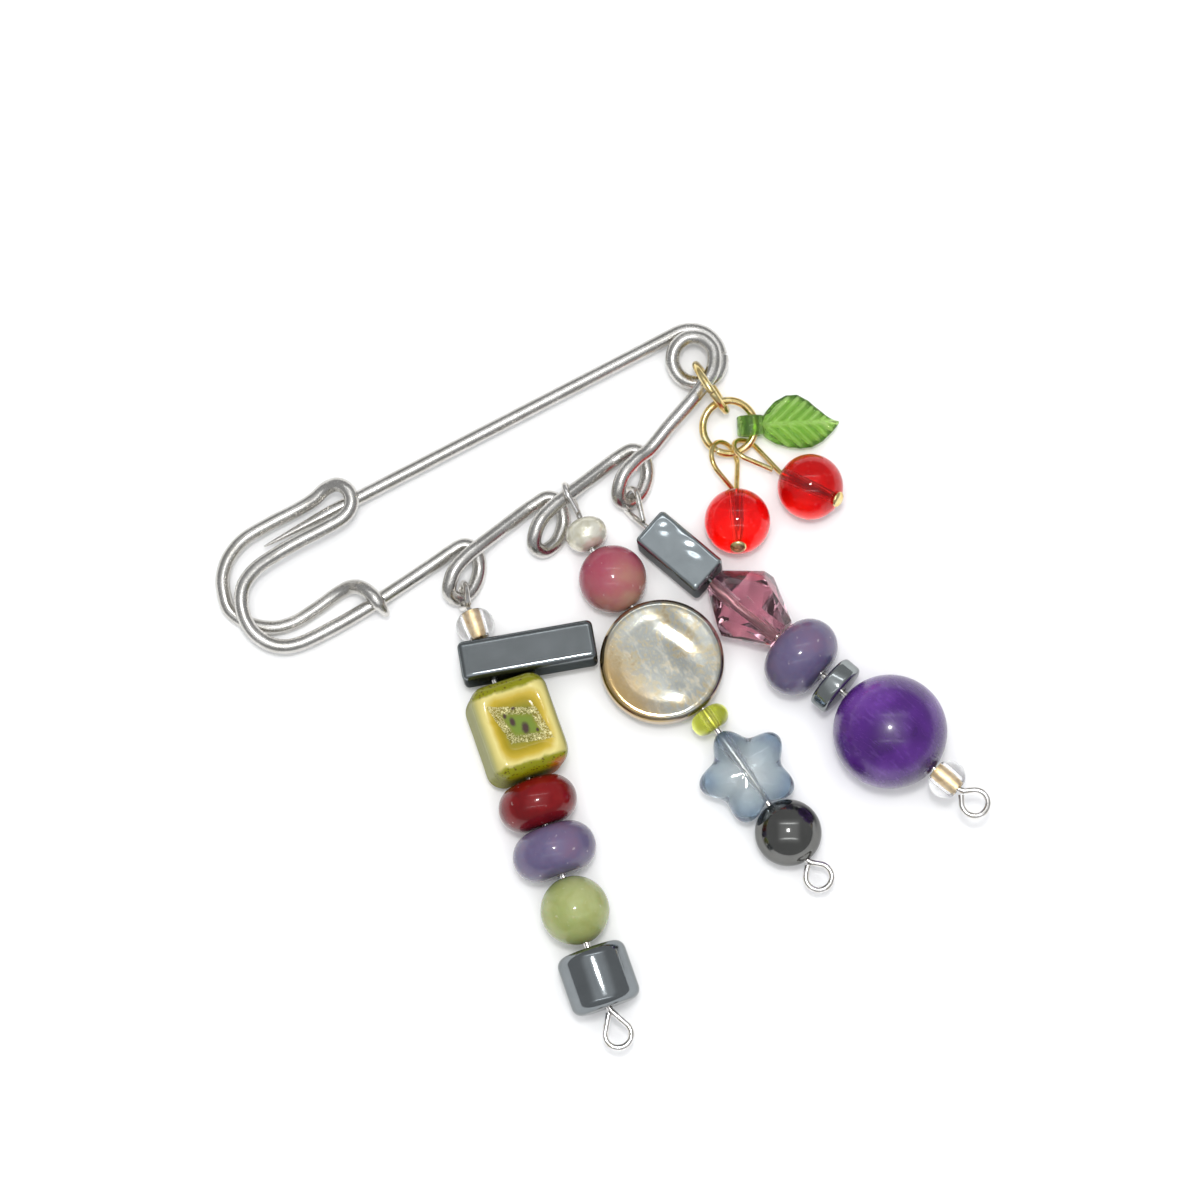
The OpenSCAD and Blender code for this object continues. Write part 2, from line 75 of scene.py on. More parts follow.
aim_camera()


# Shader maths: a value that changes over a surface, and the nodes that it comes from

def maths_node(operation, swapped=False):
    """What an operator does between a value and another value or a number."""
    def apply(value, other):
        inputs = (other, value) if swapped else (value, other)
        return value.maths(operation, *inputs)
    return apply


class Value:
    __add__, __radd__ = maths_node("ADD"), maths_node("ADD", True)
    __sub__, __rsub__ = maths_node("SUBTRACT"), maths_node("SUBTRACT", True)
    __mul__, __rmul__ = maths_node("MULTIPLY"), maths_node("MULTIPLY", True)
    __truediv__, __pow__ = maths_node("DIVIDE"), maths_node("POWER")
    smaller, larger = maths_node("MINIMUM"), maths_node("MAXIMUM")

    def __init__(self, nodes, socket):
        self.nodes, self.socket = nodes, socket

    def maths(self, operation, *inputs):
        return self.nodes.node("ShaderNodeMath", {"operation": operation}, inputs)

    def __abs__(self):
        return self.maths("ABSOLUTE", self)

    def between(self, low, high):
        """0 below low, 1 above high and a smooth rise from one to the other."""
        return self.nodes.node("ShaderNodeMapRange", {"interpolation_type": "SMOOTHSTEP"},
                               {0: self, 1: low, 2: high})

    def wave(self):
        """0 at each whole number and 1 halfway to the next."""
        return 0.5 - 0.5 * self.maths("COSINE", self * (2 * pi))


def shade(*colour):
    """A colour as it looks on the screen, turned into the linear one that shaders take."""
    return (*(c / 12.92 if c <= 0.04045 else ((c + 0.055) / 1.055) ** 2.4 for c in colour), 1)


class Nodes:
    """A node tree. Plain colours are given to it as they look on the screen."""

    def __init__(self, tree):
        self.tree = tree

    def set(self, socket, value):
        if isinstance(value, Value):
            self.tree.links.new(value.socket, socket)
        elif socket.type == "RGBA":
            socket.default_value = shade(*value)
        else:
            socket.default_value = value

    def node(self, kind, settings, inputs, output=0):
        made = self.tree.nodes.new(kind)
        for name, value in settings.items():
            if name == "stops":
                self.set_stops(made.color_ramp, value)
            else:
                setattr(made, name, value)
        pairs = inputs.items() if isinstance(inputs, dict) else enumerate(inputs)
        for socket, value in pairs:
            self.set(made.inputs[socket], value)
        return Value(self, made.outputs[output])

    def set_stops(self, ramp, stops):
        while len(ramp.elements) < len(stops):
            ramp.elements.new(1)
        for element, (place, colour) in zip(ramp.elements, stops):
            element.position, element.color = place, shade(*colour)

    def along(self, axis, place):
        return self.node("ShaderNodeSeparateXYZ", {}, [place], axis)


class Finish(Nodes):
    """A material in the making. Its constants go straight onto the shader's sockets."""

    def __init__(self, name, **constants):
        self.material = bpy.data.materials.new(name)
        self.material.use_nodes = True
        super().__init__(self.material.node_tree)
        self.shader = self.tree.nodes["Principled BSDF"]
        self.use(**constants)

    def use(self, **values):
        for socket, value in values.items():
            self.set(self.shader.inputs[socket.replace("_", " ")], value)
        return self.material

    def place(self):
        """Where a point is on its own piece, in millimetres."""
        return self.node("ShaderNodeAttribute", {"attribute_name": "own_place"}, {}, "Vector")

    def places(self):
        place = self.place()
        return [self.along(axis, place) for axis in "XYZ"]

    def cloud(self, size, detail=3, rough=0.5, bend=0, place=None):
        """Soft noise from 0 to 1, with features about size millimetres across."""
        inputs = {"Vector": place or self.place(), "Scale": 1 / size, "Detail": detail,
                  "Roughness": rough, "Distortion": bend}
        return self.node("ShaderNodeTexNoise", {}, inputs, "Fac")

    def place_with(self, operation, *numbers):
        return self.node("ShaderNodeVectorMath", {"operation": operation},
                         [self.place(), numbers])

    def specks(self, size, shift=0):
        """1 in the middle of scattered dots and 0 between them."""
        inputs = {"Vector": self.place_with("ADD", shift, shift, shift), "Scale": 1 / size}
        near = self.node("ShaderNodeTexVoronoi", {}, inputs, "Distance")
        return 1 - near.between(0.12, 0.3)

    def mix(self, share, first, second):
        return self.node("ShaderNodeMix", {"data_type": "RGBA"},
                         {0: share, 6: first, 7: second}, 2)

    def colours(self, value, stops):
        return self.node("ShaderNodeValToRGB", {"stops": stops}, [value])

    def bumps(self, height, depth=0.02, strength=0.4):
        """A bump map whose height of 1 is depth millimetres."""
        inputs = {"Strength": strength, "Distance": depth * MM, "Height": height}
        return self.node("ShaderNodeBump", {}, inputs, "Normal")

    def crackle(self, size, width):
        """1 on a net of fine lines and 0 in its cells."""
        line = self.node("ShaderNodeTexVoronoi", {"feature": "DISTANCE_TO_EDGE"},
                         {"Vector": self.place(), "Scale": 1 / size}, "Distance")
        return 1 - line.between(width / 3, width)

    def spot(self, x, y, middle, radii, ragged):
        """1 inside a small oval and 0 outside it."""
        out = (((x - middle[0]) / radii[0]) ** 2 + ((y - middle[1]) / radii[1]) ** 2) ** 0.5
        return 1 - (out + ragged).between(0.4, 1.15)

    def hole_wall(self):
        """1 on the ground wall of a bead's hole, which runs along its z."""
        x, y, _ = self.places()
        return 1 - (x * x + y * y).between((bore_r + 0.02) ** 2, (bore_r + 0.07) ** 2)

    def turned_away(self):
        """0 where gloss or glass faces the eye and 1 at its outline."""
        return self.node("ShaderNodeLayerWeight", {}, {"Blend": 0.5}, "Facing")

    def depth_inside(self, x, y, corners):
        """How deep a point lies inside a flat shape, in millimetres."""
        depth = None
        for (x1, y1), (x2, y2) in zip(corners, corners[1:] + corners[:1]):
            length = hypot(x2 - x1, y2 - y1)
            to_edge = (x - x1) * ((y1 - y2) / length) + (y - y1) * ((x2 - x1) / length)
            depth = depth.smaller(to_edge) if depth else to_edge
        return depth


# Studio: a grey room with a paler top and two bright strips, a lamp, and an even fill

def soft_light(name, place, aim, size, brightness):
    data = bpy.data.lights.new(name, "AREA")
    data.shape, data.size = "DISK", size
    data.energy = brightness * pi * pi * size * size / 4
    lamp = add_object(name, data)
    lamp.location = place
    lamp.rotation_mode = "QUATERNION"
    lamp.rotation_quaternion = (Vector(place) - Vector(aim)).to_track_quat("Z", "Y")
    return lamp


def light_studio():
    """The room's brightness depends on the direction: how far to the side, how far up or down
    the photograph, and how far up from the table."""
    world = bpy.data.worlds.new("room")
    world.use_nodes = True
    room = Nodes(world.node_tree)
    direction = room.node("ShaderNodeTexCoord", {}, {}, "Generated")
    x, y, up = [room.along(axis, direction) for axis in "XYZ"]
    sine, cosine = sin(CAMERA_TURN), cos(CAMERA_TURN)
    side, away = abs(x * cosine - y * sine), abs(x * sine + y * cosine)
    top = (1 - side.between(0.36, 0.72)) * (1 - away.between(0.42, 0.72))
    strips = away.between(0.40, 0.43) * (1 - away.between(0.44, 0.47))
    strips = strips * (1 - side.between(0.2, 0.6)) * up.between(0.2, 0.4)
    room_glow, top_glow, strip_glow = 0.35, 0.38, 4.2
    glow = room_glow + top_glow * top + strip_glow * strips
    background = world.node_tree.nodes["Background"]
    room.set(background.inputs["Color"], (0.9777, 0.9867, 1))
    room.set(background.inputs["Strength"], glow)
    bpy.context.scene.world = world
    bpy.context.scene.view_settings.view_transform = "Standard"
    soft_light("camera_lamp", (-0.004, 0.002, 0.42), (0, 0.01, 0), 0.05, 80)
    fill = soft_light("fill_lamp", (0, 0, 0.9), (0, 0, 0), 0.8, 2.9)
    fill.visible_glossy = False


light_studio()


# Finishes

def plated_steel():
    """Satin plate: pale rubbed parts, warm grey dull ones and a fine grain."""
    f = Finish("plated steel wire", Metallic=1.0)
    wear = f.cloud(2.6, 5, rough=0.6)
    fine = f.cloud(0.2, 4)
    scuffs = f.cloud(0.7, 5, rough=0.75).between(0.5, 0.72)
    colour = f.colours(wear * 0.75 + fine * 0.25, [
        (0.32, (0.75, 0.74, 0.71)), (0.48, (0.80, 0.79, 0.77)), (0.66, (0.86, 0.85, 0.83))])
    return f.use(Base_Color=f.mix(scuffs * 0.32, colour, (0.62, 0.59, 0.55)),
                 Roughness=0.19 + 0.08 * wear + 0.06 * fine + 0.06 * scuffs,
                 Normal=f.bumps(fine * 0.35 + wear + scuffs * 0.2, 0.02, 0.38))


def worn_plate(name, wear, stops, roughness, marks, metallic=1.0):
    """Bright thin metal, rubbed paler and duller in soft patches, with fine marks. wear is a
    cloud, roughness a low value and its rise, marks a size, a depth and a strength."""
    f = Finish(name, Metallic=metallic)
    worn = f.cloud(*wear)
    return f.use(Base_Color=f.colours(worn, stops), Roughness=roughness[0] + roughness[1] * worn,
                 Normal=f.bumps(f.cloud(marks[0]), *marks[1:]))


def hematite(name, dark, light, rim=0.8):
    """Dark mirror-like stone with a fine grain and a faint blue-grey drift. rim is how much
    it shines where it turns away."""
    f = Finish(name, Specular_Tint=(rim, rim, rim))
    grain = f.cloud(0.18, 5, rough=0.7)
    drift = f.cloud(2.5)
    colour = f.mix(drift, dark, light)
    return f.use(Base_Color=f.mix(grain.between(0.6, 0.8) * 0.3, colour, (0.3, 0.3, 0.31)),
                 Metallic=0.92 + 0.08 * grain, Roughness=0.06 + 0.1 * grain,
                 Normal=f.bumps(grain * 0.3 + drift))


def glaze(name, colour_stops, drift_size, fade=0.0, calm=1.0, **constants):
    """A glossy opaque bead: colour that drifts, and fades along its hole, tiny pits and a
    clear wet coat. calm below 1 evens the drift out."""
    f = Finish(name, Specular_IOR_Level=0.18, Coat_Roughness=0.02, **constants)
    drift = f.cloud(drift_size, 4, bend=0.4)
    fine = f.cloud(drift_size / 9)
    colour = f.colours((drift - 0.5) * calm + 0.5 + f.places()[2] * fade, colour_stops)
    dust = f.specks(1.1, 3) * fine.between(0.55, 0.7)
    return f.use(Base_Color=f.mix(dust * 0.25, colour, (0.92, 0.9, 0.88)),
                 Roughness=0.16 + 0.1 * fine,
                 Coat_Weight=(0.4 + 0.2 * drift) * (1 - 0.9 * f.turned_away() ** 2),
                 Normal=f.bumps(drift + fine * 0.05, 0.03, 0.5))


def tinted_glass(name, light, deep, clearness):
    """Coloured glass: the tint drifts a little, with seeds and faint waves on its face."""
    f = Finish(name, IOR=1.5, Transmission_Weight=clearness)
    drift = f.cloud(2.4, bend=0.6)
    seeds = f.specks(0.9, 5)
    hole = f.hole_wall()
    colour = f.mix(seeds * 0.15, f.mix(drift, deep, light), (1, 1, 1))
    return f.use(Base_Color=f.mix(hole * 0.8, colour, (0.95, 0.93, 0.90)),
                 Roughness=0.015 + 0.03 * drift + 0.4 * hole,
                 Normal=f.bumps(f.cloud(1.6), 0.03))


def veined_glass():
    """Green glass, with painted highlights on the crests of its veins and painted shade between
    them.
    """
    f = Finish("leaf glass", IOR=1.4, Transmission_Weight=0.93)
    x, y, z = f.places()
    drift = f.cloud(1.5, 4)
    phase = (x - 1) * (VEINS / leaf_length) - abs(y) * vein_sweep + (drift - 0.5) * 0.5
    crest = (phase + y.between(-0.05, 0.05) * vein_offset).wave() ** 2.5
    rib = 1 - abs(y).between(0.08, rib_width / 2)
    on_blade = x.between(1.2, 1.8)
    # painted light: vein crests and the midrib paler as painted highlights, the hollows between
    # darker as painted shade
    colour = f.colours(crest.larger(rib) * 0.55 + drift * 0.5, [
        (0.15, (0.56, 0.76, 0.32)), (0.5, (0.70, 0.86, 0.46)), (0.9, (0.86, 0.96, 0.68))])
    edge = (1 - abs(z + (drift - 0.5) * 0.3).between(0.22, 0.42)) * on_blade
    colour = f.mix(edge * 0.7, colour, (0.22, 0.42, 0.14))
    return f.use(Base_Color=f.mix(on_blade, (0.60, 0.76, 0.40), colour),
                 Roughness=0.03 + 0.05 * drift,
                 Normal=f.bumps(crest * on_blade * 0.4 + f.cloud(0.6), 0.3, 0.7))


def cherry_glass(name, y_share, z_share, red):
    """Clear red glass with painted light: the side that y_share and z_share point along is
    painted brighter and given a painted glow, standing for the light that a clear ball gathers,
    and the outline is painted darker as painted shade. red is how strong the colour of its other
    side is."""
    f = Finish(name, IOR=1.42, Transmission_Weight=0.93, Emission_Strength=0.15,
               Specular_IOR_Level=0.35)
    _, y, z = f.places()
    drift = f.cloud(2.2, 4, bend=0.5)
    # painted light: one side of the bead is painted brighter and glows
    painted_light_side = (y * y_share + z * z_share + (drift - 0.5) * 1.5).between(1.7, 3.7)
    # painted shade: the outline is darkened towards deep red
    rim = f.turned_away() ** 3
    colour = f.mix(painted_light_side, (red, 0.10, 0.10), (1.0, 0.20, 0.10))
    colour = f.mix(rim * (0.85 - 0.5 * painted_light_side), colour, (0.60, 0.03, 0.04))
    return f.use(Base_Color=f.mix(f.specks(0.9, 5) * 0.1, colour, (1, 1, 1)),
                 Emission_Color=f.mix(painted_light_side, (0, 0, 0), (0.95, 0.12, 0.06)),
                 Roughness=0.01 + 0.02 * drift,
                 Normal=f.bumps(drift))


def star_glass():
    """Pale grey-blue glass that deepens towards the star's edge."""
    f = Finish("steel blue glass", IOR=1.5, Transmission_Weight=0.93)
    _, y, z = f.places()
    drift = f.cloud(2.2, 4, bend=0.8)
    out = (y * y + z * z) ** 0.5 + (drift - 0.5) * 3
    hole = f.hole_wall()
    colour = f.colours(out * 0.16, [
        (0.15, (0.86, 0.88, 0.88)), (0.5, (0.79, 0.83, 0.85)), (0.85, (0.58, 0.67, 0.77))])
    return f.use(Base_Color=f.mix(hole * 0.8, colour, (0.96, 0.96, 0.96)),
                 Roughness=0.02 + 0.04 * drift + 0.4 * hole,
                 Normal=f.bumps(drift, 0.05, 0.6))


def frosted_glass():
    f = Finish("frosted clear glass", IOR=1.3, Transmission_Weight=0.95)
    drift = f.cloud(0.8, 4)
    return f.use(Base_Color=f.mix(drift, (0.97, 0.97, 0.97), (1, 1, 1)),
                 Roughness=0.06 + 0.16 * drift, Normal=f.bumps(drift, 0.03))


def banded_amethyst():
    """Deep purple quartz with cloudy growth bands, painted paler towards -z along its hole as a
    painted highlight and darker towards +z as painted shade.
    """
    f = Finish("amethyst", Specular_IOR_Level=0.35, Transmission_Weight=0.4)
    bend = f.cloud(3.5, 4)
    x, _, z = f.places()
    bands = (x * 0.06 + z * 0.08 + bend * 0.8).wave()
    layers = f.place_with("MULTIPLY", 1, 3, 0.6)
    wisps = f.cloud(1.4, 6, place=layers, rough=0.7).between(0.52, 0.75)
    # - z * 0.035 is painted light: paler towards -z, darker towards +z
    depth = bands * 0.3 + f.cloud(5, 2) * 0.4 + 0.17 - z * 0.035
    colour = f.colours(depth, [(0.2, (0.22, 0.06, 0.36)), (0.5, (0.37, 0.15, 0.56)),
                               (0.8, (0.54, 0.32, 0.74))])
    return f.use(Base_Color=f.mix(wisps * 0.3, colour, (0.66, 0.52, 0.85)),
                 Roughness=0.27 + 0.08 * wisps,
                 Coat_Weight=0.4 * (1 - 0.85 * f.turned_away() ** 2),
                 Normal=f.bumps(bend))


def champagne_pearl():
    f = Finish("champagne pearl", IOR=1.6, Coat_Roughness=0.05)
    drift = f.cloud(1.3, 4, bend=0.8)
    colour = f.colours(drift, [(0.3, (0.82, 0.80, 0.70)), (0.6, (0.96, 0.95, 0.89))])
    return f.use(Base_Color=colour, Metallic=0.4 + 0.2 * drift, Roughness=0.16 + 0.16 * drift,
                 Coat_Weight=0.6, Normal=f.bumps(drift, 0.12, 0.6))


def tarnished_silver():
    """Satin metal: yellowish and blue-grey stains, pale streaks that are rubbed wear and also a
    painted highlight, a golden side and a coppery edge. The face is the plane of x and y, and -x
    runs on down the string."""
    f = Finish("tarnished silver", Metallic=1.0)
    x, y, _ = f.places()
    stain = f.cloud(3.4, 6, rough=0.68)
    fine = f.cloud(0.45, 6, rough=0.75)
    streaks = f.place_with("MULTIPLY", 0.45, 1.3, 1)
    rubbed = f.cloud(1.1, 6, place=streaks, rough=0.7).between(0.5, 0.66)
    face = f.colours(stain * 0.58 + fine * 0.42, [
        (0.36, (0.72, 0.65, 0.52)), (0.44, (0.78, 0.74, 0.63)),
        (0.52, (0.68, 0.70, 0.69)), (0.62, (0.79, 0.76, 0.67))])
    # pale streaks: rubbed wear, and also a painted highlight
    face = f.mix(rubbed * 0.35, face, (0.92, 0.90, 0.84))
    golden = (0 - y + (stain - 0.5) * 5).between(1.8, 6.2) * 0.85
    face = f.mix(golden, face, (0.74, 0.61, 0.38))
    out = (x * x + y * y) ** 0.5
    rim = out.between(disc_d / 2 - 0.5, disc_d / 2 - 0.05) * (0.4 + 0.4 * stain)
    copper = f.mix((y - x * 0.5).between(-3, 3), (0.74, 0.64, 0.46), (0.60, 0.46, 0.38))
    return f.use(Base_Color=f.mix(rim, face, copper),
                 Roughness=0.07 + 0.04 * stain + 0.04 * fine + 0.25 * rim,
                 Normal=f.bumps(f.cloud(2.6, 2) * 0.12 + fine * 0.15, 0.05, 0.8))


def crackle_ceramic():
    """Cream ridges round an ochre slope and an olive hollow, a green middle with dark spots
    inside a glittering net of fine lines, and green ends with brown specks."""
    f = Finish("crackle glaze", Specular_IOR_Level=0.3, Coat_Roughness=0.03)
    x, y, z = f.places()
    wander = f.cloud(2.2, 4, bend=0.5) - 0.5
    ragged = (f.cloud(0.35, 4) - 0.5) * 1.6
    face = f.colours(from_middle(y, z) + wander * 0.14, [
        (0.0, (0.46, 0.50, 0.12)), (0.34, (0.48, 0.47, 0.10)),
        (0.52, (0.62, 0.54, 0.10)), (0.64, (0.74, 0.64, 0.22)),
        (0.77, (0.83, 0.78, 0.49)), (1.0, (0.74, 0.70, 0.42))])
    on_face = abs(x).between(ceramic_width / 2 - 1.3, ceramic_width / 2 - 1.0)
    inside = f.depth_inside(y, z, CRACKLE_CORNERS) + ragged * 0.25
    ring = inside.between(0, 0.15) * (1 - inside.between(0.75, 1.05)) * on_face
    net = f.crackle(0.24, 0.12).larger(f.crackle(0.13, 0.09) * 0.6)
    glitter = ring * net * f.cloud(0.3).between(0.36, 0.5)
    middle = inside.between(0.55, 1.5) * on_face
    colour = f.mix(middle * 0.8, face, (0.40, 0.50, 0.17))
    colour = f.mix(ring * 0.5, colour, (0.36, 0.33, 0.14))
    colour = f.mix(glitter * 0.9, colour, (0.93, 0.90, 0.66))
    for place, radii in DARK_SPOTS:
        colour = f.mix(f.spot(y, z, place, radii, ragged * 0.3) * on_face * 0.92, colour,
                       (0.24, 0.11, 0.16))
    sides = abs(y).between(ceramic_width / 2 - 0.8, ceramic_width / 2)
    colour = f.mix(sides * 0.75, colour, (0.52, 0.54, 0.34))
    ends = (abs(z) + wander).between(ceramic_length / 2 - 1.4, ceramic_length / 2 - 0.9)
    brown = f.specks(0.55).larger(f.specks(0.4, 7)) * 0.85
    end_colour = f.mix(brown, (0.50, 0.50, 0.05), (0.30, 0.19, 0.05))
    rust = f.spot(y, z, (3.1, ceramic_length / 2), (1.6, 0.7), ragged)
    end_colour = f.mix(rust * 0.8, end_colour, (0.66, 0.30, 0.08))
    colour = f.mix(ends, colour, end_colour)
    height = wander + glitter * 0.5 + f.cloud(0.5) * 0.1
    flank = 1 - abs(x).between(ceramic_width / 2 - 2.0, ceramic_width / 2 - 1.0)
    return f.use(Base_Color=colour, Roughness=0.15 + 0.2 * glitter + 0.45 * flank,
                 Coat_Weight=0.25 - 0.23 * flank,
                 Normal=f.bumps(height, 0.1, 0.7))


def from_middle(y, z):
    """How far out on the ceramic's face a place is: 0 in its middle and 1 at its outline."""
    side, end = abs(y) / (ceramic_width / 2), abs(z) / (ceramic_length / 2)
    return (side ** 5 + end ** 5) ** 0.2


# The ceramic's glittering net and its dark spots, from the middle of its face in millimetres:
# across the bead, and along its wire
CRACKLE_CORNERS = [(-3.3, -3.3), (2.4, -1.5), (3.3, 2.7), (-1.7, 1.8)]
DARK_SPOTS = [((-0.75, -0.6), (0.4, 0.68)), ((0.45, 0.5), (0.55, 0.85)),
              ((-1.4, -1.5), (0.25, 0.35)), ((1.7, 1.1), (0.22, 0.3)), ((-0.2, -2.1), (0.3, 0.2))]


def white_sweep():
    f = Finish("white paper sweep", IOR=1.4)
    grain = f.cloud(40)
    return f.use(Base_Color=f.mix(grain, (0.9686,) * 3, (0.9777,) * 3),
                 Roughness=0.7 + 0.2 * grain)


# Mesh helpers

def new_piece(name, points, faces, material, sharp=None):
    """A mesh in millimetres. Edges bent more than sharp degrees stay crisp."""
    mesh = bpy.data.meshes.new(name)
    mesh.from_pydata([tuple(Vector(p) * MM) for p in points], [], faces)
    mesh.validate()
    cleaned = bmesh.new()
    cleaned.from_mesh(mesh)
    bmesh.ops.recalc_face_normals(cleaned, faces=cleaned.faces)
    cleaned.to_mesh(mesh)
    cleaned.free()
    mesh.materials.append(material)
    soften(mesh, sharp)
    return add_object(name, mesh)


def soften(mesh, sharp):
    mesh.polygons.foreach_set("use_smooth", [True] * len(mesh.polygons))
    if sharp:
        mesh.set_sharp_from_angle(angle=radians(sharp))


def dress(piece, node, body="pin_frame"):
    """Notes for the finishes where each point is on the piece itself, and moves the mesh to
    the piece's place. The piece then stands for a node and moves with its body."""
    mesh = piece.data
    own = mesh.attributes.new("own_place", "FLOAT_VECTOR", "POINT")
    own.data.foreach_set("vector", [c / MM for v in mesh.vertices for c in v.co])
    mesh.transform(piece.matrix_world)
    piece.matrix_world = Matrix.Identity(4)
    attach(piece, body)
    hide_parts(node)


def unit(v):
    return v.normalized()


def arc(middle_x, middle_y, r, first, last, steps):
    """Points on a circle, from the first angle to the last one."""
    turns = [radians(first + (last - first) * k / steps) for k in range(steps + 1)]
    return [(middle_x + r * cos(a), middle_y + r * sin(a)) for a in turns]


def ring_faces(rows, around):
    """Faces of rows between rings of points, and a flat one at each end."""
    faces = [(k * around + j, k * around + (j + 1) % around,
              (k + 1) * around + (j + 1) % around, (k + 1) * around + j)
             for k in range(rows) for j in range(around)]
    return faces + [tuple(range(around)), tuple(range(rows * around, (rows + 1) * around))]


def tube_mesh(path, radii, sides):
    """A round wire along a path. radii is one radius, or one for each point of the path."""
    last = len(path) - 1
    tangents = [unit(path[min(last, i + 1)] - path[max(0, i - 1)]) for i in range(last + 1)]
    normal = unit(tangents[0].cross(Vector((0.3, 0.2, 1)).cross(tangents[0])))
    points = []
    for i, tangent in enumerate(tangents):
        normal = unit(normal - normal.dot(tangent) * tangent)
        side = tangent.cross(normal)
        r = radii[i] if isinstance(radii, list) else radii
        points += [path[i] + x * normal + y * side for x, y in arc(0, 0, r, 0, 360, sides)[:-1]]
    return points, ring_faces(last, sides)


def spline(a, b, c, d, t):
    return 0.5 * (2 * b + (c - a) * t + (2 * a - 5 * b + 4 * c - d) * t * t
                  + (3 * b - a - 3 * c + d) * t * t * t)


def smooth(points, steps):
    """A curve through the points, with this many steps from one to the next."""
    ends = [points[0], *points, points[-1]]
    curve = [spline(*ends[i:i + 4], k / steps)
             for i in range(len(points) - 1) for k in range(steps)]
    return curve + [points[-1]]


def vectors(rows):
    return [Vector(row) for row in rows]


def placed(point):
    return Matrix.Translation((point - SKETCH_MIDDLE) * MM)


def turn(angle, axis):
    return Matrix.Rotation(radians(angle), 4, axis)


def lie_along(heading, rise):
    """Turns a bead so that its z runs along the wire, its y to the side and its -x up."""
    return turn(heading, "Z") @ turn(90 - rise, "Y")


def drill(piece, length, along, sharp, r=None):
    """Cuts a round hole along the z of the place that along gives."""
    bpy.context.view_layer.update()
    path = [end * UP for end in (-length / 2 - 1, length / 2 + 1)]
    tool = new_piece("drill", *tube_mesh(path, r or bore_r, 32), piece.data.materials[0])
    tool.matrix_world = along
    cut = piece.modifiers.new("hole", "BOOLEAN")
    cut.operation, cut.object, cut.solver = "DIFFERENCE", tool, "EXACT"
    settle(piece)
    bpy.data.objects.remove(tool)
    soften(piece.data, sharp)


def settle(piece):
    """Keeps the shape that the piece's modifiers give, and drops them."""
    bpy.context.view_layer.update()
    shaped = piece.evaluated_get(bpy.context.evaluated_depsgraph_get())
    mesh = bpy.data.meshes.new_from_object(shaped)
    piece.modifiers.clear()
    piece.data = mesh


def wire(name, path, radii, sides, material, node, body="pin_frame"):
    """A round wire along a path of the sketch, as a piece of its own."""
    mesh = tube_mesh([p - SKETCH_MIDDLE for p in path], radii, sides)
    dress(new_piece(name, *mesh, material, 50), node, body)


# The pin's bent wire. A turn of its coil is a list of angles, radii and shares of the rise.

wire_r = 0.85
needle_z, coil_rise = 2.4, 1.9
needle_length = 52
front_z = needle_z + coil_rise
over_needle = needle_z + 2.0
LOOP_TURN = vectors([
    (0.6, 4.1, 2), (2.4, 4.35, 1.95), (4, 4.4, 1.9), (4.9, 3.6, 1.75), (4.95, 2.3, 1.25),
    (4.4, 1, 0.95), (3.3, -0.2, 1), (2, -0.9, 1.3), (0.6, -1, 1.9), (0, -0.1, 3),
    (0.7, 1, 3.7), (2, 2, 3.95), (4, 2.75, 3.8), (6, 3.2, 3.45)])
LAST_LOOP, LOOP_STEP = Vector((-15.6, -10.4, 0)), Vector((-11.4, -0.4, 0))
CATCH_AT = Vector((-needle_length, 0, 0))
CATCH_ROUTE = vectors([
    (6, -10.1, 2.4), (5.8, -9.1, 3.5), (5.5, -7.6, 3.9), (4.9, -6.1, 3.3), (3.8, -5.1, 2.1),
    (2, -4.9, 1.3), (-1, -5.3, 1), (-4, -5.5, 0.9), (-6.5, -4.9, 0.9), (-8.7, -3.2, 0.9),
    (-10, -0.8, 1), (-9.7, 1.4, 1.3), (-8.8, 3.3, 1.7), (-7, 4.9, 2.1), (-4.5, 5.8, 2.4),
    (-1, 6, 2.4), (2, 6, 2.4), (4.5, 6.1, 2.6), (6.4, 6.5, 3.1), (7.8, 6.2, 3.9)])
HOOK_ROUTE = vectors([
    (8.6, 5.1, 0.1), (8.6, 3.8, 0.15), (7.9, 2.8, 0.1), (6.5, 2.2, 0), (4, 2.1, 0), (1, 2.1, 0),
    (-2, 2, -0.1), (-5, 1.7, -0.5), (-7.2, 0.7, -0.9), (-8.5, -1.2, -1.3), (-8.9, -3.6, -1.5),
    (-8.3, -5.8, -1.8), (-6.8, -7.5, -2), (-4.5, -8.3, -2.2), (-0.5, -8.4, -2.4),
    (4, -8.2, -2.45), (9, -7.7, -2.45)])
COIL_TURN = [
    (-94, 3.35, 1), (-67, 2.8, 1), (-35, 2.45, 1), (0, 2.45, 0.98), (40, 2.5, 0.92),
    (80, 2.55, 0.8), (120, 2.5, 0.62), (160, 2.5, 0.42), (200, 2.55, 0.2), (235, 2.65, 0.05),
    (265, 2.9, 0), (295, 3.15, 0), (320, 3.3, 0), (342, 3.35, 0)]
BAR_TO_COIL = vectors([(-6.5, -5.9, 3.8), (-2.8, -4.53, front_z), (-1.6, -4, front_z)])
# Shares of the wire's radius over its rounded cut end
CUT_END = [0.35, 0.55, 0.7, 0.8, 1]
# How far along the needle from its coil each place is, and the radius there
NEEDLE_PLACES = [(0, wire_r), (0.5, wire_r), (4.5, 0.83), (40, 0.83), (45.85, 0.8),
                 (48.85, 0.59), (51.85, 0.36), (53.85, 0.19), (54.85, 0.1)]


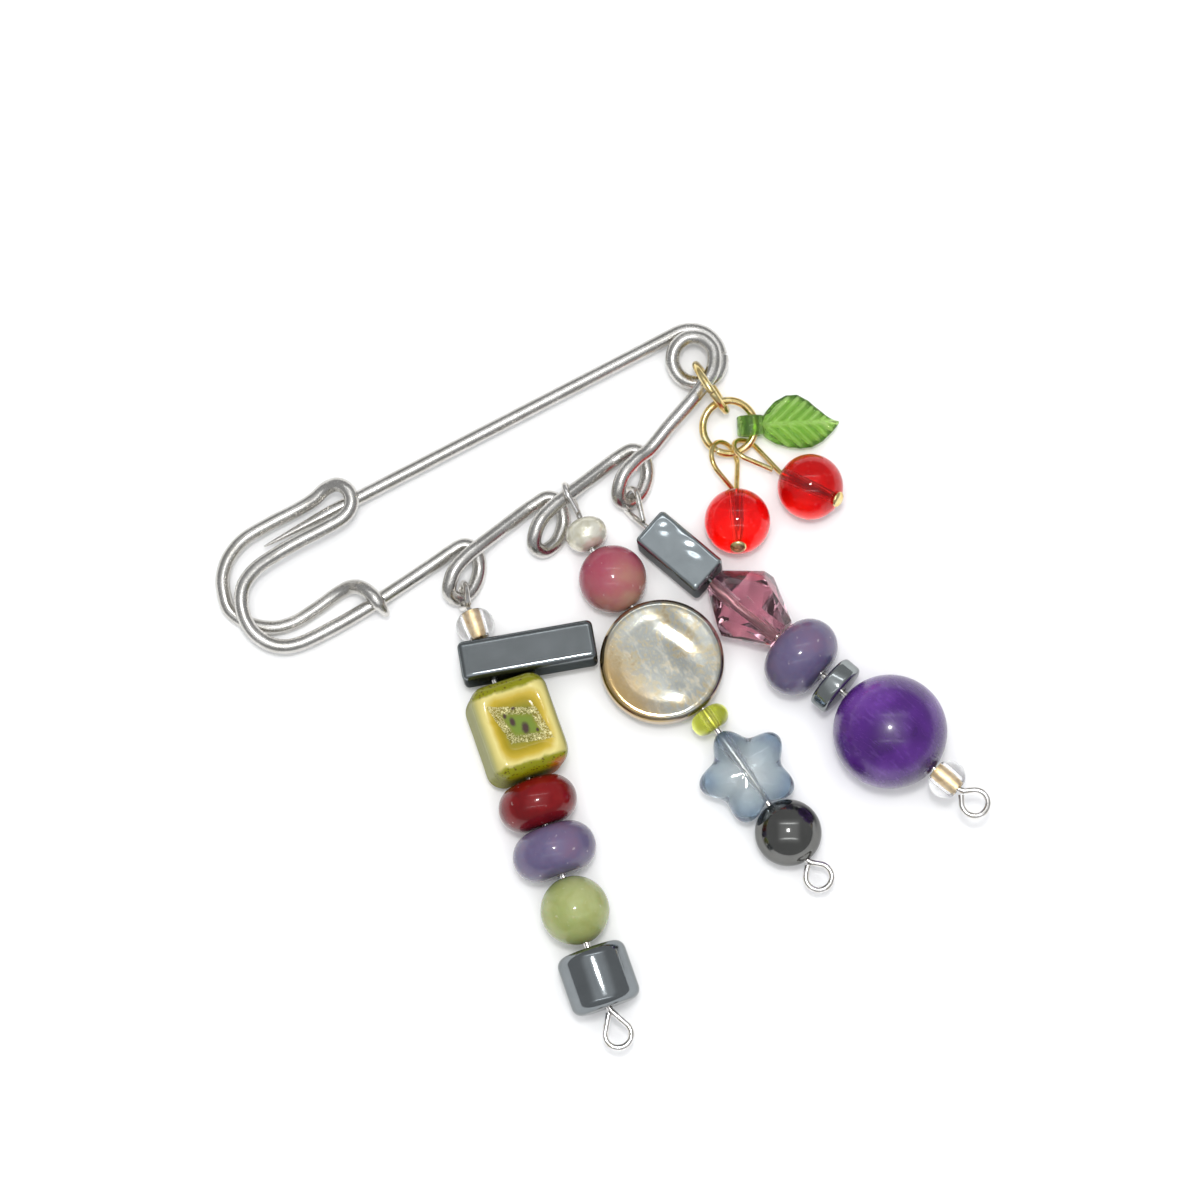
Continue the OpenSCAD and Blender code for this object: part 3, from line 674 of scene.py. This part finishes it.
def pin_frame_wire():
    lift = over_needle * UP
    route = [CATCH_AT + p for p in CATCH_ROUTE] + [CATCH_AT + p + lift for p in HOOK_ROUTE]
    for i in (2, 1, 0):
        route += [LAST_LOOP + i * LOOP_STEP + p for p in LOOP_TURN]
    route += BAR_TO_COIL
    route += [Vector((r * cos(radians(a)), r * sin(radians(a)), needle_z + rise * coil_rise))
              for a, r, rise in COIL_TURN]
    path = smooth(route, 9)
    rounding = [a + (b - a) * k / 3 for a, b in zip(CUT_END, CUT_END[1:]) for k in range(3)]
    radii = [wire_r * share for share in rounding + [1] * (len(path) - len(rounding))]
    wire("bent_pin_wire", path, radii, 20, PLATED_STEEL, "pin_frame")


def needle_wire():
    """The straight pin: the coil's lower turn, a lightly ground shaft and a long point."""
    middle_x, middle_y, r, steps = -0.15, 0.4, 3.5, 30
    route = arc(middle_x, middle_y, r, -19, 90, steps)[:-1]
    route += [(middle_x - along, middle_y + r) for along, _ in NEEDLE_PLACES]
    path = [Vector((x, y, needle_z)) for x, y in route]
    radii = [wire_r] * steps + [radius for _, radius in NEEDLE_PLACES]
    wire("needle_wire", path, radii, 24, PLATED_STEEL, "needle", "needle")


# The strings. Each row of a string's list is a bead's length and the gap before it.

string_r, bore_r, eye_r = 0.35, 0.55, 1.5
past_beads, neck_bend = 0.25, 0.3
bar_length, bar_width = 15.8, 4.7
ceramic_length, ceramic_width = 10.9, 9.2
red_d, violet_1_d, green_d, barrel_d = 9.2, 9.75, 7.9, 8.1
silver_bead_d, pink_d, disc_d, star_r, dark_round_d = 4.9, 7.9, 14.4, 5.7, 7.7
star_notch_r = 0.72 * star_r
block_length, block_width, crystal_d = 9.5, 4.9, 9.2
violet_2_d, amethyst_d = 9.6, 13.1
lined_bead_d, lining_hole_r, lime_d, spacer_d = 4.5, 1.05, 4.6, 6.5
lined_bead_length, red_length, violet_1_length, barrel_length = 3.7, 5.5, 5.8, 7
silver_bead_length, lime_length = 3.8, 2.7
crystal_length, violet_2_length, spacer_length = 10, 6.4, 2.3


class String:
    """A wire with beads: where it starts, the heading and rise of its two straight stretches,
    where the second one begins, and its beads."""

    def __init__(self, start, first, second, bend_at, rows):
        self.start, self.bend_at, self.rows = Vector(start), bend_at, rows
        self.lies = [lie_along(*first), lie_along(*second)]
        self.length = sum(a + b for a, b in rows) + past_beads

    def lie(self, s):
        return self.lies[s >= self.bend_at]

    def direction(self, s):
        return self.lie(s) @ UP

    def point(self, s):
        return (self.start + min(s, self.bend_at) * self.direction(0)
                + max(0, s - self.bend_at) * self.direction(self.bend_at))

    def bead_start(self, i):
        return sum(a + b for a, b in self.rows[:i]) + self.rows[i][1]

    def seat(self, s):
        return placed(self.point(s)) @ self.lie(s)

    def bead_seat(self, i):
        return self.seat(self.bead_start(i) + self.rows[i][0] / 2)


STRING_1 = String((-37.28, -14.05, 4.1), (-98.35, 5.26), (-98.7, 0), 9.7, [
    (lined_bead_length, 0.45), (bar_width + 0.1, 0.3), (ceramic_length, 1.05),
    (red_length, 0.5), (violet_1_length, 0.2), (green_d, 0.3), (barrel_length, 0.7)])
STRING_2 = String((-20.8, -10.3, 3.8), (-96.8, 2.5), (-83.8, 0), 4.6, [
    (silver_bead_length, 0.6), (pink_d, 0.35), (disc_d, 0.15), (lime_length, 0.15),
    (star_r + star_notch_r, 0.5), (dark_round_d, 0.35)])
STRING_3 = String((-14.6, -14.9, 3.45), (-69.4, 4.8), (-69.4, 4.8), inf, [
    (block_length, 0.8), (crystal_length, 0.4), (violet_2_length, 0.3), (spacer_length, 0.85),
    (amethyst_d, 0.55), (lined_bead_length, 0.1)])


def eye(neck, middle, lean, r, cut=0.45):
    """Teardrop eye from its cut end, round the circle and back to the neck."""
    away = unit(middle - neck)
    side = unit(lean - lean.dot(away) * away)
    reach = 180 - degrees(acos(r / (middle - neck).length))
    circle = [middle + x * away + y * side for x, y in arc(0, 0, r, reach, -reach, 36)]
    return [neck + cut * unit(circle[0] - neck), *circle,
            neck + neck_bend * unit(circle[-1] - neck)]


def string_wire(name, string, link_middle, lean, eye_neck=0.55):
    neck, end = string.point(string.length), string.direction(string.length)
    side = Vector((end.y, -end.x, 0))
    bends = [neck_bend, string.bend_at, string.length - neck_bend]
    path = (eye(string.start, Vector(link_middle), Vector(lean), eye_r)
            + [string.point(s) for s in bends if s < string.length]
            + eye(neck, neck + (eye_r + eye_neck) * end, side, eye_r)[::-1])
    wire(name + "_round", path, string_r, 14, STRING_STEEL, name)


# Bead shapes, each about its own z

def turned(outline, segments=72):
    """Spins a closed outline of radius and height round z."""
    count = len(outline)
    points = [Vector((r * cos(a), r * sin(a), z))
              for a in (2 * pi * j / segments for j in range(segments)) for r, z in outline]
    faces = [(j * count + i, ((j + 1) % segments) * count + i,
              ((j + 1) % segments) * count + (i + 1) % count, j * count + (i + 1) % count)
             for j in range(segments) for i in range(count)]
    return points, faces


def mirrored(upper):
    """An outline's upper half, and the same again below."""
    return upper + [(r, -z) for r, z in reversed(upper)]


def bored(outside, r=bore_r):
    """Closes an outline, from the far end to the near one, with the wall of its hole."""
    top, bottom = outside[0][1], outside[-1][1]
    return outside + [(r, bottom + (top - bottom) * k / 6) for k in range(7)]


def round_outline(d):
    r, lip = d / 2, 0.12
    start = degrees(acos((bore_r + lip) / r))
    return bored(arc(0, 0, r, start, -start, 40))


def rondelle_outline(d, length, hole_r=bore_r):
    half = length / 2
    rim, mouth = d / 2 - half, hole_r + 0.08
    if rim > hole_r + 0.1:
        flat = [mouth + (rim - mouth) * k / 4 for k in range(4)]
        outside = ([(r, half) for r in flat] + arc(rim, 0, half, 90, -90, 36)
                   + [(r, -half) for r in reversed(flat)])
    else:
        start = degrees(acos((mouth - rim) / half))
        outside = arc(rim, 0, half, start, -start, 36)
    return bored(outside, hole_r)


def barrel_outline(d, length, edge):
    half, r = length / 2, d / 2 - edge
    return bored(mirrored([(bore_r + 0.15, half), (d / 4, half), (r, half)]
                          + arc(r, half - edge, edge, 85, 0, 8)))


def threaded(name, node, seat, mesh, material, sharp=55, drilled=None, aside=None):
    """A bead at its seat on a string. One that isn't turned is drilled to this length. aside
    is its own place and turn beside the wire."""
    piece = new_piece(name, *mesh, material, sharp)
    piece.matrix_world = seat @ aside if aside else seat
    if drilled:
        drill(piece, drilled, seat, sharp)
    dress(piece, node)


def spun(name, node, string, i, outline, material, segments=72):
    """A turned bead in the place of this number on a string."""
    threaded(name, node, string.bead_seat(i), turned(outline, segments), material)


def soft_box(size, edge, steps=28, shape=None):
    """A box with round edges and corners. shape may move each point of its skin."""
    half, ends = [s / 2 for s in size], 6
    grid, points, faces = {}, [], []

    def spread(k, axis):
        """Places across a face, closest together over the round edges."""
        if k < ends:
            return edge * k / ends - half[axis]
        if k > steps - ends:
            return half[axis] - edge * (steps - k) / ends
        return (2 * (k - ends) / (steps - 2 * ends) - 1) * (half[axis] - edge)

    def index(p):
        key = tuple(round(c, 5) for c in p)
        if key not in grid:
            core = Vector([max(edge - h, min(h - edge, c)) for c, h in zip(p, half)])
            out = core + edge * unit(Vector(p) - core)
            grid[key] = len(points)
            points.append(shape(out) if shape else out)
        return grid[key]

    for axis, sign, i, j in product(range(3), (-1, 1), range(steps), range(steps)):
        u, v = (axis + 1) % 3, (axis + 2) % 3
        corners = []
        for a, b in ((i, j), (i + 1, j), (i + 1, j + 1), (i, j + 1)):
            p = [0, 0, 0]
            p[axis], p[u], p[v] = sign * half[axis], spread(a, u), spread(b, v)
            corners.append(index(p))
        if len(set(corners)) > 2:
            faces.append(tuple(dict.fromkeys(corners)))
    return points, faces


# First string

def first_string():
    string_wire("dangle_1_wire", STRING_1, (-37.1, -12.15, 1.78), (0.45, 0.4, 0.8), 1.5)
    lined_bead("1", STRING_1, 0)
    hematite_bar()
    ceramic_square()
    spun("red_bead", "red_rondelle", STRING_1, 3, rondelle_outline(red_d, red_length),
         RED_GLAZE)
    spun("violet_bead_1", "violet_rondelle_1", STRING_1, 4,
         rondelle_outline(violet_1_d, violet_1_length), VIOLET_GLAZE)
    spun("green_bead", "green_round", STRING_1, 5, round_outline(green_d), PALE_GREEN)
    spun("barrel_bead", "hematite_barrel", STRING_1, 6,
         barrel_outline(barrel_d, barrel_length, 1.2), TURNED_HEMATITE)


def lined_bead(number, string, i):
    glass = rondelle_outline(lined_bead_d, lined_bead_length, lining_hole_r)
    spun("frosted_bead_" + number, "gold_lined_bead_" + number, string, i, glass, FROSTED,
         48)
    half, r, bevel = lined_bead_length / 2 - 0.2, lining_hole_r - 0.05, 0.07
    tube = bored([(r - bevel, half), (r, half - bevel), (r, 0), (r, bevel - half),
                  (r - bevel, -half)])
    spun("gold_core_" + number, "gold_lining_" + number, string, i, tube, GOLD_LINING,
         40)


def hematite_bar():
    hole_from_end = 3.2
    shift = Vector((0, bar_length / 2 - hole_from_end, 0))
    points, faces = soft_box([bar_width, bar_length, bar_width], 0.7)
    mesh = [turn(9.8, "X") @ (p + shift) for p in points], faces
    threaded("long_bar", "hematite_bar", STRING_1.bead_seat(1), mesh, BAR_HEMATITE,
             40, bar_width)


def ceramic_square():
    """A puffy square with a ridge round the dish in each broad face, and full ends."""
    dish_edge, dish_slope, dish_depth, face_depth = 0.84, 0.42, 0.62, 1.2
    fuller_up, fuller_down, unevenness, edge = 1.05, 1.03, 0.05, 2

    def dished(p):
        share = max(0, min(1, (dish_edge - from_middle(p.y, p.z)) / dish_slope))
        depth = dish_depth * share * share * (3 - 2 * share)
        if abs(p.x) > ceramic_width / 2 - face_depth:
            p.x -= depth * (1 if p.x > 0 else -1)
        p.z *= fuller_up if p.z < 0 else fuller_down
        return p + Vector((0, unevenness * noise.noise(p * 0.5), 0))

    mesh = soft_box([ceramic_width, ceramic_width, ceramic_length], edge, 44, dished)
    aside = Matrix.Translation((0, 0.45 * MM, 0)) @ turn(-8, "Z")
    threaded("ceramic_cushion", "ceramic_square", STRING_1.bead_seat(2), mesh, CRACKLE_CERAMIC,
             50, ceramic_length, aside)


# Second string

def second_string():
    string_wire("dangle_2_wire", STRING_2, (-20.6, -7.6, 3.35), (-0.2, 0, 1))
    spun("pearl_bead", "silver_bead", STRING_2, 0,
         rondelle_outline(silver_bead_d, silver_bead_length), CHAMPAGNE)
    spun("pink_bead", "pink_round", STRING_2, 1, round_outline(pink_d), PINK_STONE)
    silver_disc()
    spun("lime_seed_bead", "lime_bead", STRING_2, 3, rondelle_outline(lime_d, lime_length),
         LIME_GLASS, 64)
    glass_star()
    spun("dark_bead", "hematite_round", STRING_2, 5, round_outline(dark_round_d),
         ROUND_HEMATITE, 96)


def pressed(a, b, marks, uphill):
    """How far soft press marks lift a face at a, b. Each has a middle, two radii and the
    slope at its middle, which rises along uphill."""
    return sum(slope * ((a - at[0]) * uphill[0] + (b - at[1]) * uphill[1])
               * exp(-((a - at[0]) / radii[0]) ** 2 - ((b - at[1]) / radii[1]) ** 2)
               for at, radii, slope in marks)


DISC_MARKS = [((1.6, 2.8), (3.2, 1.1), 0.07), ((-4.9, -1.0), (1.3, 1.1), 0.06)]
DISC_UPHILL = (0.827, 0.562)
BLOCK_MARKS = [((1.1, -3.4), (0.75, 0.95), 0.17), ((1.35, 0.4), (0.7, 1.5), 0.17)]
BLOCK_UPHILL = (0.75, -0.66)


def silver_disc():
    """A coin-shaped bead with faintly wavy faces and a soft lip round each."""
    edge, half, steps, outline = 0.7, 1.5, 36, []
    face_r, lip_height, lip_width, waviness = disc_d / 2 - edge, 0.05, 1.6, 0.012
    for k in range(steps):
        r = face_r * k / steps
        lip = max(0, 1 - (face_r - r) / lip_width)
        outline.append((max(r, 0.001), half - lip_height + lip_height * lip))
    points, faces = turned(mirrored(outline + arc(face_r, half - edge, edge, 80, 0, 7)), 120)
    for p in points:
        wave = waviness * noise.noise(Vector((p.x, p.y, 0)) * 0.22)
        wave -= pressed(p.x, p.y, DISC_MARKS, DISC_UPHILL)
        p.z += wave * (1 - (hypot(p.x, p.y) / (disc_d / 2)) ** 4)
    aside = Matrix.Translation((0, -0.8 * MM, 0)) @ turn(90, "Y")
    threaded("coin_bead", "silver_disc", STRING_2.bead_seat(2), (points, faces),
             TARNISHED_SILVER, 55, disc_d, aside)


def glass_star():
    """A plump star: five round lobes that swell towards the middle."""
    half, layers, around, points = 2.5, 26, 150, []
    flatness, notch_depth = 0.6, 0.3
    for k in range(layers + 1):
        lift = radians(-90 + 180 * k / layers)
        slim = max(0.02, cos(lift)) ** flatness
        for j in range(around):
            a = 2 * pi * j / around
            lobe = (1 + cos(5 * a)) / 2
            r = slim * (star_notch_r + (star_r - star_notch_r) * lobe)
            r *= 1 - notch_depth * (1 - lobe) * (1 - slim)
            points.append(Vector((-half * sin(lift), r * sin(a), -r * cos(a))))
    threaded("star_bead", "glass_star", STRING_2.seat(STRING_2.bead_start(4) + star_r),
             (points, ring_faces(layers, around)), star_glass(), 50,
             2 * star_r)


# Third string

def third_string():
    string_wire("dangle_3_wire", STRING_3, (-14.4, -11.4, 1.65), (0.6, 0.3, 0.75))
    hematite_block()
    plum_crystal()
    spun("violet_bead_2", "violet_rondelle_2", STRING_3, 2,
         rondelle_outline(violet_2_d, violet_2_length), VIOLET_GLAZE)
    spun("spacer", "hematite_spacer", STRING_3, 3,
         barrel_outline(spacer_d, spacer_length, 0.5), SPACER_HEMATITE_PAINTED_LIGHTER)
    spun("amethyst_bead", "amethyst_round", STRING_3, 4, round_outline(amethyst_d), AMETHYST,
         110)
    lined_bead("2", STRING_3, 5)


def hematite_block():
    """A square block with round edges and two faint press marks in its upper face."""
    edge = 0.6

    def marked(p):
        if p.x < edge - block_width / 2:
            p.x -= pressed(p.y, p.z, BLOCK_MARKS, BLOCK_UPHILL)
        return p

    mesh = soft_box([block_width, block_width, block_length], edge, 64, marked)
    threaded("short_block", "hematite_block", STRING_3.bead_seat(0), mesh, BLOCK_HEMATITE_PAINTED_LIGHTER,
             40, block_length)


def plum_crystal():
    """Two rows of triangular facets round a narrow girdle, and a flat table at each end. A
    ring is its place and its width, as shares of half the length and of the diameter."""
    sides, off_wire = 8, 0.5
    rings = [(-1, 0.33), (-0.22, 0.98), (-0.02, 1), (1, 0.44)]
    points, faces = [], []
    *quads, first_end, last_end = ring_faces(len(rings) - 1, sides)
    for k, (place, share) in enumerate(rings):
        for j in range(sides):
            a = -2 * pi * (j + (k % 2) / 2) / sides
            r = share * crystal_d / 2
            z = place * crystal_length / 2
            points.append(Vector((r * cos(a), r * sin(a) + off_wire, z)))
    for i, (a, b, d, c) in enumerate(quads):
        faces += [(a, b, c), (b, d, c)] if i // sides % 2 == 0 else [(a, b, d), (a, d, c)]
    faces += [first_end, last_end]
    threaded("faceted_crystal", "plum_crystal", STRING_3.bead_seat(1), (points, faces),
             PLUM_GLASS, 20, crystal_length)


# Cherry charm

gold_r = 0.45
coil_ring_r = 7.35 / 2 - gold_r
charm_ring_r = 7.15 / 2 - gold_r
COIL_RING_AT, CHARM_RING_AT = Vector((0.1, -4.1, 3.7)), Vector((-0.1, -9.05, 2.4))
CHARM_TURN = turn(16, "X")
cherry_d, head_pin_r = 7.7, 0.3
PIN_HEAD = [(0.001, 0.45), (0.5, 0.42), (0.8, 0.33), (0.93, 0.2), (0.95, 0.08), (0.9, 0),
            (0.001, 0)]


def jump_ring(name, node, at, lie, r, cut_at):
    """A wire ring with the fine cut where it was closed."""
    gap, steps = 1.2, 96
    circle = arc(0, 0, r, cut_at + gap, cut_at + 360 - gap, steps)
    path = [lie @ Vector((x, y, 0)) + at for x, y in circle]
    cut_r = 0.93 * gold_r
    radii = [cut_r, *[gold_r] * (steps - 1), cut_r]
    wire(name, path, radii, 18, GOLD_PLATE, node)


def with_part(mesh, part, lie):
    """A mesh and another one laid beside it."""
    points, faces = mesh
    return (points + [lie(p) for p in part[0]],
            faces + [tuple(i + len(points) for i in face) for face in part[1]])


def cherry(number, glass, middle, heading, rise, link_middle, r, cut):
    """A round bead on a head pin, whose other end is an eye round the charm ring."""
    lie = lie_along(heading, rise)
    along = lie @ UP
    middle, link_middle = Vector(middle), Vector(link_middle)
    neck = middle - (cherry_d / 2 + 0.5) * along
    head = middle + (cherry_d / 2 + 0.05) * along
    lean = UP.cross(unit(link_middle - neck)) + UP
    path = eye(neck, link_middle, lean, r, cut)
    path += [neck + neck_bend * along, middle, head + 0.15 * along]
    path = [p - SKETCH_MIDDLE for p in path]
    mesh = with_part(tube_mesh(path, head_pin_r, 14), turned(PIN_HEAD, 32),
                     lambda p: lie @ p + head - SKETCH_MIDDLE)
    pin = new_piece("head_pin_" + number, *mesh, GOLD_PLATE, 50)
    dress(pin, "cherry_pin_" + number)
    threaded("red_glass_bead_" + number, "cherry_bead_" + number, placed(middle) @ lie,
             turned(round_outline(cherry_d), 96), glass)


leaf_length = 9.6
leaf_r, leaf_hole_r, leaf_inward = 1.65, 1.1, 0.5
# Each side's edge: its widest reach, where along the leaf that is, and how it swells from the
# root and narrows to the tip
LEAF_SIDES = [(3.5, 0.427, 0.9, 1.76), (3.05, 0.542, 0.36, 0.9)]
VEINS, vein_sweep, vein_offset, vein_height = 7, 0.75, 0.3, 0.17
rib_width, rib_height = 0.8, 0.22


def leaf_edge(t, side):
    reach, widest, swell, narrow = side
    return reach * max(0, sin(pi * t ** (log(0.5) / log(widest)))) ** (
        swell if t < widest else narrow)


def vein(t, y):
    """Height of the raised veins: a midrib and side veins that sweep out to the edge."""
    rib = cos(pi * y / rib_width) if abs(y) < rib_width / 2 else 0
    phase = t * VEINS - abs(y) * vein_sweep + (vein_offset if y > 0 else 0)
    side = (0.5 - 0.5 * cos(2 * pi * phase)) * min(1, abs(y) * 1.5)
    return rib_height * rib * (1 - 0.6 * t) + vein_height * side


def glass_leaf():
    """A blade with raised veins and a collar, melted into one, and a hole for the ring."""
    at = CHARM_RING_AT + CHARM_TURN @ turn(-24, "Z") @ Vector((charm_ring_r, 0, 0))
    rows, columns, points = 110, 72, []
    root, tip, root_height, tip_height = 0.04, 0.98, 1.25, 0.5
    fullness, thin_edge, scallop_depth, underside = 0.78, 0.25, 0.03, -0.4
    for i in range(rows + 1):
        t = root + (tip - root) * i / rows
        h = root_height + (tip_height - root_height) * t
        for j in range(columns):
            a = -2 * pi * j / columns
            v, top = cos(a), sin(a)
            w = leaf_edge(t, LEAF_SIDES[0 if v > 0 else 1])
            crown = h * top * fullness * (1 - thin_edge * abs(v))
            scallop = 1 - scallop_depth * abs(sin(pi * (t * VEINS - 2.4))) * abs(v) ** 6
            raised = vein(t, w * v) * (1 if top > 0 else underside) * abs(top) ** 0.5
            points.append(Vector((leaf_length * t + 1, w * v * scallop, crown + raised)))
    across = turn(90, "X")
    half, lip = 1.2, 0.3
    r = leaf_r - lip
    collar = bored(mirrored([(r, half)] + arc(r, half - lip, lip, 80, 0, 5)), leaf_hole_r)
    mesh = with_part((points, ring_faces(rows, columns)), turned(collar, 64),
                     lambda p: across @ p)
    leaf = new_piece("leaf", *mesh, veined_glass())
    leaf.matrix_world = (placed(at) @ turn(-25, "Z") @ turn(8, "X")
                         @ Matrix.Translation((-leaf_inward * MM, 0, 0)))
    melt = leaf.modifiers.new("melt", "REMESH")
    melt.mode, melt.voxel_size = "VOXEL", 0.075 * MM
    ease = leaf.modifiers.new("ease", "SMOOTH")
    ease.factor, ease.iterations = 0.5, 2
    settle(leaf)
    drill(leaf, 7, leaf.matrix_world @ across, 60, leaf_hole_r)
    dress(leaf, "glass_leaf")


def cherry_charm():
    coil_turn = turn(-86, "Z") @ turn(102, "X")
    jump_ring("upper_ring", "coil_ring", COIL_RING_AT, coil_turn, coil_ring_r, 70)
    jump_ring("lower_ring", "charm_ring", CHARM_RING_AT, CHARM_TURN, charm_ring_r, 215)
    # The second cherry's lower red, 0.86, is painted shade that darkens its middle.
    cherry("1", cherry_glass("cherry glass 1", 0, 1, 0.96), (-4.8, -19.7, 3.9), -118, 31,
           (-2.4, -12.2, 2.1), 2.2, 0.45)
    cherry("2", cherry_glass("cherry glass 2", -0.85, 0.25, 0.86), (4.7, -20.1, 3.9), -59.3, 26,
           (0.55, -12.4, 1.8), 1.7, 1.1)
    glass_leaf()


# Materials in use

PLATED_STEEL = plated_steel()
STRING_STEEL = worn_plate("soft string wire", (0.9, 4), [
    (0.3, (0.82, 0.80, 0.76)), (0.6, (0.96, 0.95, 0.94))], (0.12, 0.16), (0.25, 0.012, 0.5))
GOLD_PLATE = worn_plate("pale gold plate", (1.1, 5, 0.6), [
    (0.25, (0.70, 0.55, 0.30)), (0.42, (0.91, 0.79, 0.50)), (0.7, (0.98, 0.93, 0.72))],
    (0.16, 0.16), (0.4, 0.01, 0.4))
GOLD_LINING = worn_plate("gold lining", (0.5, 4), [
    (0.3, (0.88, 0.72, 0.47)), (0.6, (1.0, 0.90, 0.70))], (0.3, 0.2), (0.2, 0.02, 0.6), 0.85)
BAR_HEMATITE = hematite("bar hematite", (0.46, 0.48, 0.48), (0.54, 0.56, 0.57), 0.485)
# painted light: a lighter copy of the hematite for the block's bright face
BLOCK_HEMATITE_PAINTED_LIGHTER = hematite("block hematite", (0.58, 0.61, 0.62), (0.70, 0.73, 0.74), 0.485)
TURNED_HEMATITE = hematite("turned hematite", (0.49, 0.51, 0.52), (0.57, 0.59, 0.60))
# painted light: a lighter copy of the hematite for the spacer's bright face
SPACER_HEMATITE_PAINTED_LIGHTER = hematite("spacer hematite", (0.56, 0.58, 0.58), (0.66, 0.68, 0.68))
ROUND_HEMATITE = hematite("round hematite", (0.41, 0.41, 0.40), (0.50, 0.50, 0.49))
CRACKLE_CERAMIC = crackle_ceramic()
TARNISHED_SILVER, CHAMPAGNE = tarnished_silver(), champagne_pearl()
AMETHYST, FROSTED = banded_amethyst(), frosted_glass()
RED_GLAZE = glaze("deep red glaze", [
    (0.3, (0.34, 0.02, 0.04)), (0.55, (0.46, 0.04, 0.06)), (0.8, (0.53, 0.10, 0.10))], 4)
VIOLET_GLAZE = glaze("grey violet glaze", [
    (0.3, (0.34, 0.31, 0.44)), (0.55, (0.41, 0.37, 0.49)),
    (0.75, (0.48, 0.38, 0.48))], 5, Subsurface_Weight=0.3, Subsurface_Scale=0.0012)
PALE_GREEN = glaze("pale green stone", [
    (0.3, (0.54, 0.58, 0.33)), (0.5, (0.61, 0.64, 0.41)),
    (0.75, (0.69, 0.71, 0.51))], 3.5, calm=0.8, Subsurface_Weight=0.4, Subsurface_Scale=0.0015)
PINK_STONE = glaze("raspberry stone", [
    (0.25, (0.58, 0.13, 0.29)), (0.5, (0.63, 0.34, 0.38)),
    (0.72, (0.66, 0.50, 0.42))], 4.5, fade=0.055, calm=0.5, Subsurface_Weight=0.3,
    Subsurface_Scale=0.0012)
LIME_GLASS = tinted_glass("lime glass", (0.94, 0.96, 0.49), (0.84, 0.88, 0.20), 0.92)
PLUM_GLASS = tinted_glass("plum glass", (0.88, 0.70, 0.75), (0.80, 0.58, 0.64), 0.97)

pin_frame_wire()
needle_wire()
first_string()
second_string()
third_string()
cherry_charm()


def lay_floor():
    reach = 1500
    corners = [(x * reach, y * reach, 0) for x, y in ((-1, -1), (1, -1), (1, 1), (-1, 1))]
    floor = new_piece("floor", corners, [(0, 1, 2, 3)], white_sweep())


lay_floor()
